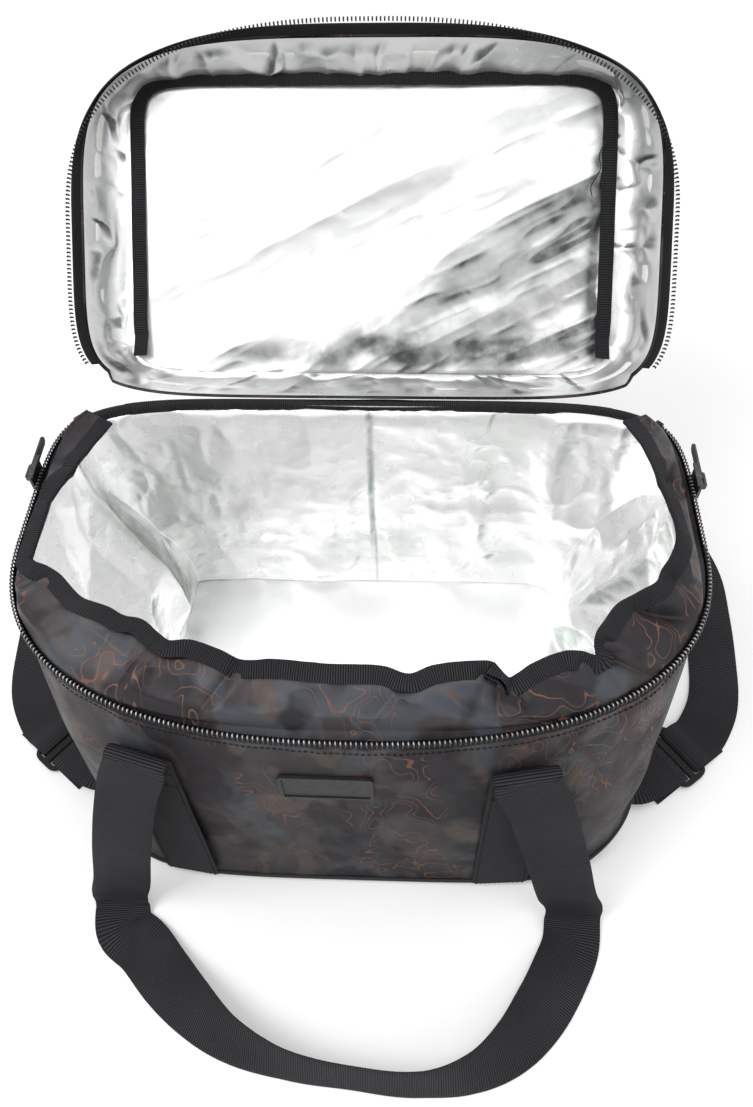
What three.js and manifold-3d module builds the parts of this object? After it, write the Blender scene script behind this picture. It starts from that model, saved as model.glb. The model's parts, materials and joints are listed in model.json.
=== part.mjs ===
// A soft cooler bag with its lid folded back: cloth panels over foam and foil, webbing handles, a shoulder
// strap on slide buckles, and a coil zip round three sides of the lid.
// Millimetres, +X to the bag's right as seen from the front, +Y to the back, +Z up. The origin is on the
// floor, under the middle of the bag's widest line.
import * as THREE from "three";
import Module from "manifold-3d";
import { mergeVertices } from "three/addons/utils/BufferGeometryUtils.js";

// Gap kept between pieces that touch
const GAP = 0.3;

// Body outline at three heights: half its width, its depth in front of and behind the widest line, and how
// square its front and back corners are. The belly is how far the sides swell, and the front's rise the power
// by which it comes back early
const BASE_HALF_WIDTH = 193.5;
const BASE_FRONT = 136.6;
const BASE_FRONT_SQUARENESS = 4.5;
const BASE_BACK_SQUARENESS = 7;
const BODY_BACK = 120;
const MOUTH_HALF_WIDTH = 206;
const MOUTH_FRONT = 129;
const MOUTH_FRONT_SQUARENESS = 2.35;
const MOUTH_BACK_SQUARENESS = 6;
const MOUTH_HEIGHT = 219.6;
const BELLY = 4;
const FRONT_RISE = 2;
const COLLAR_LEAN_SIDE = 26.5;
const COLLAR_LEAN_FRONT = 26;
const COLLAR_LEAN_BACK = 14;
const COLLAR_FRONT_SQUARENESS = 2.6;
const COLLAR_BACK_SQUARENESS = 5;

// Layers of the wall, from the outside in
const CLOTH = 1.2;
const FOAM = 6;
const FOAM_ROOM = 0.9;
const FOIL = 0.8;
const BOARD = 2.5;
const BASE_FOAM = 5;
const TAPE = 0.9;
const BINDING = 1;
const BINDING_WIDTH = 10.5;
const BINDING_ROOM = 0.7;

// Heights round the mouth: how far below it the panels, the hinge edge and the foam end, and the tray's rim
const PANEL_DROP = 6.6;
const HINGE_DROP = 1.6;
const FOAM_DROP = 8.6;
const TRAY_LOW_RIM = 5;
const TRAY_CORNER_RIM = 28;
const TRAY_RIM_START = 0.75;
const PIPING = 1.6;
const COLLAR_HEIGHT = 27;
const COLLAR_END_HEIGHT = 12;
const COLLAR_TAPER_FROM = 50;
const COLLAR_END_Y = 101;
const SIDE_SEAM_Y = 65;

// Zip: where it ends on each side, and its chain
const ZIP_END_Y = 97;
const ZIP_TAPE_HEIGHT = 5;
const TOOTH_PITCH = 2.3;
const TOOTH_HEIGHT = 1.5;
const CHAIN_BASE = 1.3;
const CHAIN_WIDTH = 2.5;
const STOP_LENGTH = 5;

// Lid, measured closed
const LID_OPEN_ANGLE = 138;
const LID_HALF_WIDTH = 204;
const LID_FRONT = 126;
const LID_SETBACK = 0.5;
const LID_DEPTH = 46.5;
const LID_INSET = 20;
const LID_BACK_INSET = 9;
const LID_CROWN = 5;
const LID_FRONT_SQUARENESS = 2.5;
const LID_TOP_SQUARENESS = 4.5;
const LID_FOAM = 4;
const LID_FOAM_ROOM = 0.9;
const LID_TAPE_HEIGHT = 7.7;
const LID_FOAM_START = 22;
const LID_FOAM_BACK_START = 2.6;
const LID_DOME_RING = 0.6;
const HINGE_SEAT = 0.1;
const HINGE_BAND_WIDTH = 24;
const HINGE_BAND_HALF_LENGTH = 165;

// Webbing handles. The spreads are shares of the mouth's half width, from the handle's middle to each leg's
// fold and knee, and the reach is how far the grip lies out past the knees
const WEBBING_WIDTH = 38;
const WEBBING = 1.6;
const STRIP_ROOM = 0.7;
const FOLD_SPREAD = 0.524;
const FOLD_DROP = { front: 38, back: 51.6 };
const KNEE_SPREAD = { front: 0.755, back: 0.728 };
const FRONT_FOLD_SHIFT = -11;
const FRONT_KNEE_SHIFT = -9.5;
const GRIP_REACH = { front: 108, back: 102 };
const KNEE_OUT = 40.4;
const KNEE_HEIGHT = 5.6;
const KNEE_SETBACK = 0.55;
const KNEE_LEG_LEAN = 21.7;
const KNEE_GRIP_SLOPE = 15;
const KNEE_STRAIGHT = [5, 13];
const FOLD_STRAIGHT = [1, 12];
const LEG_SPLAY_CURVE = 0.8;
const FLOOR_ROOM = 0.9;

// Patch on the front panel
const PATCH_WIDTH = 54;
const PATCH_HEIGHT = 29;
const PATCH = 1.4;
const PATCH_FRAME = 2;
const PATCH_RIDGE = 0.7;
const PATCH_CORNER = 2.6;
const PATCH_X = -14;
const PATCH_DROP = 58.6;
const PATCH_ROOM = 0.1;

// Slide buckle: three bars with two slots, lying on the floor beside the bag, its middle this far out from
// the base
const BUCKLE_OUT = 39.5;
const BUCKLE_Y = -39.6;
const BUCKLE_TURN = 38;
const BUCKLE_BAR = 4.5;
const BUCKLE_SLOT = 6.5;
const BUCKLE_RAIL = 4;
const BUCKLE = 4;
const BUCKLE_CORNER = 8;
const BUCKLE_BEVEL = 0.6;
const BUCKLE_LIFT = 1;
const RAIL_ROOM = 0.75;
const LOOP_CLEARANCE = 1.15;
const LOOP_EASE = 0.3;
const LOOP_LEAD = 3;
const LOOP_EXIT = 16;
const TAIL = 24;
const TAB_START_Y = -60;
const TAB_LIFT = 1;
const TAB_STRAIGHT = 7;

// How far the strap's loop on the floor reaches out past the buckles and past the bag's back
const STRAP_SIDE_OUT = 48;
const STRAP_BACK_OUT = 201;

// Zip slider and its pull
const SLIDER_Y = 50;
const SLIDER_LENGTH = 18;
const SLIDER_PLATE = 1.6;
const SLIDER_CLEARANCE = 0.6;
const SLIDER_LIP = 1.3;
const SLIDER_OVERHANG = 2;
const CROWN_LENGTH = 11.6;
const CROWN_POST = 1.6;
const CROWN_WIDTH = 3;
const CROWN_HEIGHT = 4.4;
const CROWN_WINDOW = 3;
const CROWN_BEVEL = 1;
const SLIDER_JOIN = 0.2;
const PULL_LENGTH = 30;
const PULL_WIDTH = 6.4;
const PULL = 1.2;
const PULL_EYE = 7.4;
const PULL_ARM = 1;

// Facets: columns in a quarter of an outline, rows up the body, and the teeth that share one step of the
// chain's foot
const QUARTER_COLUMNS = 11;
const BODY_ROWS = 3;
const TEETH_PER_STEP = 6;
const CHAIN_SAMPLES = 240;

const wasm = await Module();
wasm.setup();

const panelHeight = MOUTH_HEIGHT - PANEL_DROP;
const backHeight = MOUTH_HEIGHT - HINGE_DROP;
const foamHeight = MOUTH_HEIGHT - FOAM_DROP;
const hingeHeight = backHeight + GAP + BINDING + HINGE_SEAT;
const buckleX = BASE_HALF_WIDTH + BUCKLE_OUT;
const strapSideReach = buckleX + STRAP_SIDE_OUT;
const strapBackReach = BODY_BACK + STRAP_BACK_OUT;

// Outlines

// One height's outline: |x / halfWidth|^n + |y / depth|^n = 1, with its own depth and n before and behind.
const mix = (a, b, t) => a + (b - a) * t;

function mixOutline(a, b, t) {
  const mixed = {};
  for (const key of Object.keys(a)) mixed[key] = mix(a[key], b[key], t);
  return mixed;
}

const base = {
  halfWidth: BASE_HALF_WIDTH,
  front: BASE_FRONT,
  back: BODY_BACK,
  frontSquareness: BASE_FRONT_SQUARENESS,
  backSquareness: BASE_BACK_SQUARENESS,
};
const mouth = {
  halfWidth: MOUTH_HALF_WIDTH,
  front: MOUTH_FRONT,
  back: BODY_BACK,
  frontSquareness: MOUTH_FRONT_SQUARENESS,
  backSquareness: MOUTH_BACK_SQUARENESS,
};
const collarTop = {
  halfWidth: MOUTH_HALF_WIDTH - COLLAR_LEAN_SIDE,
  front: MOUTH_FRONT - COLLAR_LEAN_FRONT,
  back: BODY_BACK - COLLAR_LEAN_BACK,
  frontSquareness: COLLAR_FRONT_SQUARENESS,
  backSquareness: COLLAR_BACK_SQUARENESS,
};

// The wall's sides swell a little on their way up, its front comes back to the mouth's depth early on, and the
// collar leans in above the mouth.
function bodyOutline(z) {
  if (z > MOUTH_HEIGHT) return mixOutline(mouth, collarTop, (z - MOUTH_HEIGHT) / COLLAR_HEIGHT);
  const share = z / MOUTH_HEIGHT;
  const outline = mixOutline(base, mouth, share);
  outline.front = mix(base.front, mouth.front, 1 - (1 - share) ** FRONT_RISE);
  outline.halfWidth += BELLY * Math.sin(Math.PI * share);
  return outline;
}

const lidRim = {
  halfWidth: LID_HALF_WIDTH,
  front: LID_FRONT,
  back: BODY_BACK - LID_SETBACK,
  frontSquareness: LID_FRONT_SQUARENESS,
  backSquareness: MOUTH_BACK_SQUARENESS,
};
const lidTop = {
  halfWidth: LID_HALF_WIDTH - LID_INSET,
  front: LID_FRONT - LID_INSET,
  back: BODY_BACK - LID_SETBACK - LID_BACK_INSET,
  frontSquareness: LID_TOP_SQUARENESS,
  backSquareness: MOUTH_BACK_SQUARENESS,
};

function lidOutline(z) {
  return mixOutline(lidRim, lidTop, (z - hingeHeight) / LID_DEPTH);
}

// The point of an outline in a direction, moved outwards by out along the outline's normal.
function outlinePoint(outline, angle, z, out) {
  const c = Math.cos(angle);
  const s = Math.sin(angle);
  const depth = s < 0 ? outline.front : outline.back;
  const n = s < 0 ? outline.frontSquareness : outline.backSquareness;
  const u = Math.abs(c) / outline.halfWidth;
  const v = Math.abs(s) / depth;
  const radius = (u ** n + v ** n) ** (-1 / n);
  const normal = new THREE.Vector2(
    (Math.sign(c) * (u * radius) ** (n - 1)) / outline.halfWidth,
    (Math.sign(s) * (v * radius) ** (n - 1)) / depth,
  ).normalize();
  return new THREE.Vector3(radius * c + out * normal.x, radius * s + out * normal.y, z);
}

// Directions that share the mouth's outline evenly: 0 is the right side, 1 the back, 2 the left, 3 the front.
const SAMPLES = 400;
const quarterAngles = [0, 1, 2, 3].map((quarter) => {
  const angles = [];
  const lengths = [0];
  for (let i = 0; i <= SAMPLES; i++) angles.push(((quarter + i / SAMPLES) * Math.PI) / 2);
  for (let i = 1; i <= SAMPLES; i++) {
    const step = outlinePoint(mouth, angles[i], 0, 0).distanceTo(outlinePoint(mouth, angles[i - 1], 0, 0));
    lengths.push(lengths[i - 1] + step);
  }
  return { angles, lengths };
});

function angleAt(share) {
  const turn = Math.floor(share / 4);
  const within = share - 4 * turn;
  const quarter = Math.min(Math.floor(within), 3);
  const { angles, lengths } = quarterAngles[quarter];
  const wanted = (within - quarter) * lengths[SAMPLES];
  let i = 1;
  while (i < SAMPLES && lengths[i] < wanted) i++;
  const t = (wanted - lengths[i - 1]) / (lengths[i] - lengths[i - 1]);
  return mix(angles[i - 1], angles[i], t) + turn * 2 * Math.PI;
}

// The columns stand closer together round the corners, where the outline turns.
const columnShares = [];
quarterAngles.forEach(({ angles, lengths }, quarter) => {
  const headings = angles.map((angle) => {
    const here = outlinePoint(mouth, angle, 0, 0);
    const beside = outlinePoint(mouth, angle, 0, 1).sub(here);
    return Math.atan2(beside.y, beside.x);
  });
  const effort = [0];
  for (let i = 1; i <= SAMPLES; i++) {
    const turn = Math.abs(Math.atan2(Math.sin(headings[i] - headings[i - 1]), Math.cos(headings[i] - headings[i - 1])));
    effort.push(effort[i - 1] + (lengths[i] - lengths[i - 1]) / lengths[SAMPLES] + turn / (Math.PI / 2));
  }
  for (let column = 0; column < QUARTER_COLUMNS; column++) {
    const wanted = (column / QUARTER_COLUMNS) * effort[SAMPLES];
    const i = effort.findIndex((value) => value >= wanted);
    columnShares.push(quarter + lengths[i] / lengths[SAMPLES]);
  }
});

// The column lines between two shares, with the two ends and any further shares asked for.
function sharesBetween(from, to, extra) {
  const inside = [-4, 0, 4]
    .flatMap((turn) => [...columnShares, ...extra].map((share) => share + turn))
    .filter((share) => share > from + 1e-6 && share < to - 1e-6)
    .sort((a, b) => a - b);
  return [from, ...inside, to];
}

function bracket(values, value) {
  let i = 0;
  while (i < values.length - 2 && values[i + 1] <= value) i++;
  return [values[i], values[i + 1], (value - values[i]) / (values[i + 1] - values[i])];
}

// A surface of flat facets between the column lines and some heights. Every layer is measured from the same
// facets, so that layers never cut through each other.
function faceted(outlineAt, heights) {
  const columns = [...columnShares, 4];
  return (share, z, out) => {
    const [left, right, across] = bracket(columns, ((share % 4) + 4) % 4);
    const [low, high, up] = bracket(heights, z);
    const corner = (column, height) => outlinePoint(outlineAt(height), angleAt(column), height, out);
    const below = corner(left, low).lerp(corner(right, low), across);
    const above = corner(left, high).lerp(corner(right, high), across);
    return below.lerp(above, up).setZ(z);
  };
}

const bodyRows = Array.from({ length: BODY_ROWS + 1 }, (_, i) => (MOUTH_HEIGHT * i) / BODY_ROWS);
const bodyPoint = faceted(bodyOutline, [...bodyRows, MOUTH_HEIGHT + COLLAR_HEIGHT]);
const lidPoint = faceted(lidOutline, [hingeHeight, hingeHeight + LID_DEPTH]);

// The share between two others where a test on shares turns true.
function shareWhere(from, to, test) {
  let [low, high] = [from, to];
  for (let i = 0; i < 40; i++) {
    const middle = (low + high) / 2;
    if (test(middle)) high = middle;
    else low = middle;
  }
  return low;
}

// Where the right back quarter of the mouth reaches a given y.
const shareAtY = (y) => shareWhere(0, 1, (share) => bodyPoint(share, MOUTH_HEIGHT, 0).y > y);

const seamShare = shareAtY(SIDE_SEAM_Y);
const zipShare = shareAtY(ZIP_END_Y);
const collarShare = shareAtY(COLLAR_END_Y);
const millimetre = 1 / quarterAngles[0].lengths[SAMPLES];
const cornerShare = zipShare + (STOP_LENGTH + 2) * millimetre;

// Solids

// Closes a list of corners and triangles into a geometry whose faces point outwards.
function closedGeometry(points, triangles) {
  let volume = 0;
  const cross = new THREE.Vector3();
  for (const [a, b, c] of triangles) volume += points[a].dot(cross.crossVectors(points[b], points[c]));
  const index = volume < 0 ? triangles.map(([a, b, c]) => [a, c, b]) : triangles;
  const geometry = new THREE.BufferGeometry().setFromPoints(points);
  geometry.setIndex(index.flat());
  const flat = geometry.toNonIndexed();
  flat.computeVertexNormals();
  return flat;
}

const quad = (a, b, c, d) => [
  [a, b, c],
  [a, c, d],
];

// A loft of loops, all with as many points. A closed one joins its last loop to its first, and an open one is
// capped at both ends by strips between the two halves of the loop. Both halves run their facets' diagonals
// the same way, so that layers laid face to face stay clear of each other.
function loft(loops, closed) {
  const count = loops[0].length;
  const points = loops.flat();
  const triangles = [];
  const at = (i, j) => (i % loops.length) * count + (j % count);
  for (let i = 0; i < loops.length - (closed ? 0 : 1); i++)
    for (let j = 0; j < count; j++) {
      const corners = [at(i, j), at(i + 1, j), at(i + 1, j + 1), at(i, j + 1)];
      if (j >= count / 2) corners.push(corners.shift());
      triangles.push(...quad(...corners));
    }
  if (!closed) {
    const last = loops.length - 1;
    for (let j = 0; j < count / 2 - 1; j++) {
      const k = count - 1 - j;
      triangles.push(...quad(at(0, j), at(0, j + 1), at(0, k - 1), at(0, k)));
      triangles.push(...quad(at(last, k), at(last, k - 1), at(last, j + 1), at(last, j)));
    }
  }
  return closedGeometry(points, triangles);
}

// A wall between two shares of an outline. face and lining give the points of its two faces at a share, and
// both have as many points.
function wall({ from, to, extra = [], face, lining }) {
  const closed = to - from === 4;
  const shares = sharesBetween(from, to, extra);
  if (closed) shares.pop();
  return loft(
    shares.map((share) => [...face(share), ...lining(share).reverse()]),
    closed,
  );
}

const valueAt = (value, share) => (typeof value === "function" ? value(share) : value);

// A plain layer of the wall, between two heights that may vary, with its outer face at a depth below the
// outline's surface.
function layer({ from, to, low, high, outer, thickness, point = bodyPoint, rows = [] }) {
  const rise = (share, depth) => {
    const ends = [valueAt(low, share), valueAt(high, share)];
    const between = rows.map((row) => THREE.MathUtils.clamp(row, ends[0] + 0.5, ends[1] - 0.5));
    return [ends[0], ...between, ends[1]].map((z) => point(share, z, -depth));
  };
  return wall({
    from,
    to,
    face: (share) => rise(share, outer),
    lining: (share) => rise(share, outer + thickness),
  });
}

// Rings stacked from the bottom face's middle to the top face's middle, each end closed by a fan.
function stack(rings, lowMiddle, highMiddle) {
  const count = rings[0].length;
  const points = [lowMiddle, ...rings.flat(), highMiddle];
  const triangles = [];
  const at = (i, j) => 1 + i * count + (j % count);
  for (let j = 0; j < count; j++) {
    triangles.push([0, at(0, j + 1), at(0, j)]);
    for (let i = 0; i < rings.length - 1; i++)
      triangles.push(...quad(at(i, j), at(i, j + 1), at(i + 1, j + 1), at(i + 1, j)));
    triangles.push([points.length - 1, at(rings.length - 1, j), at(rings.length - 1, j + 1)]);
  }
  return closedGeometry(points, triangles);
}

const ring = (point, z, depth) => columnShares.map((share) => point(share, z, -depth));

// A flat plate that fills an outline, between two heights.
function plate(low, high, depth) {
  const rings = [low, high].map((z) => ring(bodyPoint, z, depth));
  return stack(rings, new THREE.Vector3(0, 0, low), new THREE.Vector3(0, 0, high));
}

// A gently domed sheet across the lid, as thick all over, whose edge leans in with the lid's side.
function dome(low, thickness, depth) {
  const rise = LID_CROWN * (1 - LID_DOME_RING ** 2);
  const edges = [low, low + thickness].map((z) => ring(lidPoint, z, depth));
  const [lower, upper] = edges.map((edge) =>
    edge.map((p) => new THREE.Vector3(p.x * LID_DOME_RING, p.y * LID_DOME_RING, p.z + rise)),
  );
  const [bottom, top] = [low, low + thickness].map((z) => new THREE.Vector3(0, 0, z + LID_CROWN));
  return stack([lower, edges[0], edges[1], upper], bottom, top);
}

// A flat band swept along hand-laid points. Each point has its place and the direction from the band's inner
// edge to its outer edge.
function ribbon(stations, width, thickness, stepsPerSpan) {
  const places = new THREE.CatmullRomCurve3(stations.map((s) => new THREE.Vector3(...s.at)));
  const edges = new THREE.CatmullRomCurve3(stations.map((s) => new THREE.Vector3(...s.across)));
  const steps = (stations.length - 1) * stepsPerSpan;
  const loops = [];
  for (let i = 0; i <= steps; i++) {
    const place = places.getPoint(i / steps);
    const along = places.getTangent(i / steps);
    const across = edges.getPoint(i / steps);
    across.addScaledVector(along, -across.dot(along)).normalize();
    const face = new THREE.Vector3().crossVectors(across, along);
    const corner = (side, up) =>
      place.clone().addScaledVector(across, (side * width) / 2).addScaledVector(face, (up * thickness) / 2);
    loops.push([corner(-1, 1), corner(1, 1), corner(1, -1), corner(-1, -1)]);
  }
  return loft(loops, false);
}

// A zip chain: a three-sided strip whose upper edge rises and falls once for each tooth.
function chain(pathPoint, base, outwardWidth, inwardWidth, upward) {
  const samples = [];
  const from = 2 - zipShare;
  const to = 4 + zipShare;
  for (let i = 0; i <= CHAIN_SAMPLES; i++) samples.push(pathPoint(mix(from, to, i / CHAIN_SAMPLES)));
  const curve = new THREE.CatmullRomCurve3(samples);
  curve.arcLengthDivisions = 8 * CHAIN_SAMPLES;
  const groups = Math.round(curve.getLength() / (TOOTH_PITCH * TEETH_PER_STEP));
  const perGroup = 2 * TEETH_PER_STEP;
  const points = [];
  const triangles = [];
  const place = (t, out, up) => {
    const along = curve.getTangentAt(t);
    const outwards = new THREE.Vector3(along.y, -along.x, 0).normalize();
    const point = curve.getPointAt(t).addScaledVector(outwards, out);
    points.push(point.setZ(base + upward * up));
    return points.length - 1;
  };
  const inner = [];
  const outer = [];
  const crest = [];
  for (let g = 0; g <= groups; g++) {
    inner.push(place(g / groups, -inwardWidth, 0));
    outer.push(place(g / groups, outwardWidth, 0));
  }
  const crestOut = (outwardWidth - inwardWidth) / 2;
  for (let i = 0; i <= groups * perGroup; i++)
    crest.push(place(i / (groups * perGroup), crestOut, i % 2 ? CHAIN_BASE + TOOTH_HEIGHT : CHAIN_BASE));
  const skirt = (edge, g) => {
    const half = perGroup / 2;
    const start = g * perGroup;
    const strip = [];
    for (let i = 0; i < half; i++) strip.push([edge[g], crest[start + i], crest[start + i + 1]]);
    strip.push([edge[g], crest[start + half], edge[g + 1]]);
    for (let i = half; i < perGroup; i++) strip.push([edge[g + 1], crest[start + i], crest[start + i + 1]]);
    return strip;
  };
  for (let g = 0; g < groups; g++) {
    triangles.push(...skirt(inner, g));
    triangles.push(...skirt(outer, g).map(([a, b, c]) => [a, c, b]));
    triangles.push(...quad(inner[g], inner[g + 1], outer[g + 1], outer[g]));
  }
  triangles.push([inner[0], outer[0], crest[0]]);
  triangles.push([inner[groups], crest[groups * perGroup], outer[groups]]);
  return closedGeometry(points, triangles);
}

// Boolean work

function solid(geometry) {
  const bare = geometry.index ? geometry.toNonIndexed() : geometry.clone();
  bare.deleteAttribute("normal");
  bare.deleteAttribute("uv");
  const merged = mergeVertices(bare, 1e-4);
  const mesh = new wasm.Mesh({
    numProp: 3,
    vertProperties: merged.attributes.position.array,
    triVerts: new Uint32Array(merged.index.array),
  });
  return new wasm.Manifold(mesh);
}

function geometryOf(manifold) {
  const mesh = manifold.getMesh();
  const geometry = new THREE.BufferGeometry();
  geometry.setAttribute("position", new THREE.BufferAttribute(mesh.vertProperties, 3));
  geometry.setIndex(new THREE.BufferAttribute(mesh.triVerts, 1));
  const flat = geometry.toNonIndexed();
  flat.computeVertexNormals();
  return flat;
}

function joined(geometries) {
  return geometryOf(geometries.map(solid).reduce((whole, next) => whole.add(next)));
}

function cut(geometry, tools) {
  return geometryOf(tools.map(solid).reduce((whole, tool) => whole.subtract(tool), solid(geometry)));
}

function box(width, depth, height, x, y, z) {
  return new THREE.BoxGeometry(width, depth, height).translate(x, y, z);
}

function roundedRectangle(width, height, radius, steps) {
  const points = [];
  for (let corner = 0; corner < 4; corner++) {
    const x = (corner === 0 || corner === 3 ? 1 : -1) * (width / 2 - radius);
    const y = (corner < 2 ? 1 : -1) * (height / 2 - radius);
    for (let i = 0; i <= steps; i++) {
      const angle = ((corner + i / steps) * Math.PI) / 2;
      points.push(new THREE.Vector2(x + radius * Math.cos(angle), y + radius * Math.sin(angle)));
    }
  }
  return new THREE.Shape(points);
}

// Finishes
const finishes = {
  camouflage: new THREE.MeshStandardMaterial({ color: 0x2b2928, roughness: 0.72, metalness: 0 }),
  plainCloth: new THREE.MeshStandardMaterial({ color: 0x1c1b1c, roughness: 0.8, metalness: 0 }),
  webbing: new THREE.MeshStandardMaterial({ color: 0x141414, roughness: 0.85, metalness: 0 }),
  foil: new THREE.MeshStandardMaterial({ color: 0xc9cccb, roughness: 0.35, metalness: 0.8 }),
  foam: new THREE.MeshStandardMaterial({ color: 0xe6e6e2, roughness: 0.95, metalness: 0 }),
  board: new THREE.MeshStandardMaterial({ color: 0x3a3a3a, roughness: 0.6, metalness: 0 }),
  zip: new THREE.MeshStandardMaterial({ color: 0x101010, roughness: 0.45, metalness: 0 }),
  moulded: new THREE.MeshStandardMaterial({ color: 0x161616, roughness: 0.5, metalness: 0 }),
  rubber: new THREE.MeshStandardMaterial({ color: 0x121212, roughness: 0.55, metalness: 0 }),
  slider: new THREE.MeshStandardMaterial({ color: 0x555658, roughness: 0.4, metalness: 0.9 }),
};

function piece(name, geometry, finish) {
  const mesh = new THREE.Mesh(geometry, finishes[finish].clone());
  mesh.name = name;
  return mesh;
}

const bag = new THREE.Group();

// Base: a tray of plain cloth whose rim rises towards the corners and sides, with a stiff board and foam in it

function trayRim(share) {
  const across = Math.abs(bodyPoint(share, 0, 0).x) / BASE_HALF_WIDTH;
  const t = THREE.MathUtils.smoothstep(across, TRAY_RIM_START, 1);
  return mix(TRAY_LOW_RIM, TRAY_CORNER_RIM, t);
}

function basePanel() {
  const rings = [
    ring(bodyPoint, 0, 0),
    columnShares.map((share) => bodyPoint(share, trayRim(share), 0)),
    columnShares.map((share) => bodyPoint(share, trayRim(share), -CLOTH)),
    ring(bodyPoint, CLOTH, CLOTH),
  ];
  return stack(rings, new THREE.Vector3(0, 0, 0), new THREE.Vector3(0, 0, CLOTH));
}

function basePiping() {
  return wall({
    from: 0,
    to: 4,
    face: (share) => [-1, 1].map((side) => bodyPoint(share, trayRim(share) + (side * PIPING) / 2, GAP + PIPING)),
    lining: (share) => [-1, 1].map((side) => bodyPoint(share, trayRim(share) + (side * PIPING) / 2, GAP)),
  });
}

const boardLow = CLOTH + GAP;
const boardHigh = boardLow + BOARD;
const foamDepth = CLOTH + FOAM_ROOM;
const foilDepth = foamDepth + FOAM + GAP;
const baseFoamLow = boardHigh + GAP;
const baseFoamHigh = baseFoamLow + BASE_FOAM;
const floorLow = baseFoamHigh + GAP;
const floorHigh = floorLow + FOIL;

bag.add(
  piece("base_panel", basePanel(), "plainCloth"),
  piece("base_piping", basePiping(), "plainCloth"),
  piece("base_board", plate(boardLow, boardHigh, foamDepth), "board"),
  piece("base_foam", plate(baseFoamLow, baseFoamHigh, foilDepth), "foam"),
  piece("liner_floor", plate(floorLow, floorHigh, foilDepth), "foil"),
);

// Outer panels: the front one wraps round both sides, and the back one closes the body behind

const panelLow = (share) => trayRim(share) + GAP;

// How far a share is past the zip's end, from 0 just behind the zip's stops to 1 along the hinge line.
function behindZip(share) {
  const past = 1 - zipShare - Math.abs(((share + 4) % 4) - 1);
  return THREE.MathUtils.clamp(past / (2 * STOP_LENGTH * millimetre) - 1, 0, 1);
}

// The top edge is low under the zip and higher along the hinge.
const panelTop = (share) => mix(panelHeight, backHeight, behindZip(share));

const halfGap = (GAP / 2) * millimetre;
const aroundFront = { from: 2 - seamShare + halfGap, to: 4 + seamShare - halfGap };
const acrossBack = { from: seamShare + halfGap, to: 2 - seamShare - halfGap };
const cloth = { low: panelLow, high: panelTop, outer: 0, thickness: CLOTH, rows: bodyRows.slice(1, -1) };

bag.add(
  piece("front_panel", layer({ ...aroundFront, ...cloth }), "camouflage"),
  piece("back_panel", layer({ ...acrossBack, ...cloth }), "camouflage"),
);

// Foam sheets: one to each side of the body, meeting near the corners

// The sheets meet on the column line nearest to the middle of a quarter.
const nearestColumn = (wanted) =>
  columnShares.reduce((best, share) => (Math.abs(share - wanted) < Math.abs(best - wanted) ? share : best));
const [foamBackRight, foamBackLeft, foamFrontLeft, foamFrontRight] = [0.5, 1.5, 2.5, 3.5].map(nearestColumn);
const foamGap = GAP * millimetre;

function foamSheet(from, to) {
  const sizes = { low: baseFoamLow, high: foamHeight, outer: foamDepth, thickness: FOAM, rows: bodyRows.slice(1, -1) };
  return layer({ ...sizes, from: from + foamGap, to: to - foamGap });
}

bag.add(
  piece("foam_right", foamSheet(foamFrontRight - 4, foamBackRight), "foam"),
  piece("foam_back", foamSheet(foamBackRight, foamBackLeft), "foam"),
  piece("foam_left", foamSheet(foamBackLeft, foamFrontLeft), "foam"),
  piece("foam_front", foamSheet(foamFrontLeft, foamFrontRight), "foam"),
);

// Collar, foil wall and their bindings

const collarDepth = CLOTH + GAP;
const collarSpan = { from: 2 - collarShare, to: 4 + collarShare };

// The collar stands full height round the front and drops towards its ends.
function collarHeight(share) {
  const y = bodyPoint(share, MOUTH_HEIGHT, 0).y;
  const t = THREE.MathUtils.smoothstep(y, COLLAR_TAPER_FROM, COLLAR_END_Y);
  return MOUTH_HEIGHT + mix(COLLAR_HEIGHT, COLLAR_END_HEIGHT, t);
}

// The foil lies against the foam, and above it crosses to the collar.
const foilAtCollar = collarDepth + CLOTH + GAP;

function foilDepthAt(z) {
  const t = THREE.MathUtils.clamp((z - foamHeight - 2 * GAP) / (MOUTH_HEIGHT - foamHeight - 2 * GAP), 0, 1);
  return mix(foilDepth, foilAtCollar, t);
}

// The foil's top edge steps down from the collar's ends to the back panel.
const foilSteps = [collarShare, collarShare + foamGap, 2 - collarShare - foamGap, 2 - collarShare];

function foilTop(share) {
  const fromBack = Math.abs(((share + 4) % 4) - 1);
  return fromBack > 1 - collarShare - foamGap / 2 ? collarHeight(share) : backHeight;
}

function foilWall() {
  const rise = (share, extra) => {
    const top = foilTop(share);
    const rows = [floorHigh + GAP, ...bodyRows.slice(1, -1), foamHeight + 2 * GAP, Math.min(MOUTH_HEIGHT, top - 1), top];
    return rows.map((z) => bodyPoint(share, z, -foilDepthAt(z) - extra));
  };
  return wall({
    from: 0,
    to: 4,
    extra: foilSteps,
    face: (share) => rise(share, 0),
    lining: (share) => rise(share, FOIL),
  });
}

function collarBinding() {
  const outside = collarDepth - BINDING_ROOM;
  const inside = foilAtCollar + FOIL + BINDING_ROOM;
  const profile = (share, thickness) => {
    const top = collarHeight(share);
    const foot = top + GAP + BINDING - BINDING_WIDTH;
    return [
      [foot, outside - thickness],
      [top + GAP + thickness, outside - thickness],
      [top + GAP + thickness, inside + thickness],
      [foot, inside + thickness],
    ].map(([z, depth]) => bodyPoint(share, z, -depth));
  };
  return wall({
    ...collarSpan,
    face: (share) => profile(share, BINDING),
    lining: (share) => profile(share, 0),
  });
}

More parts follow.
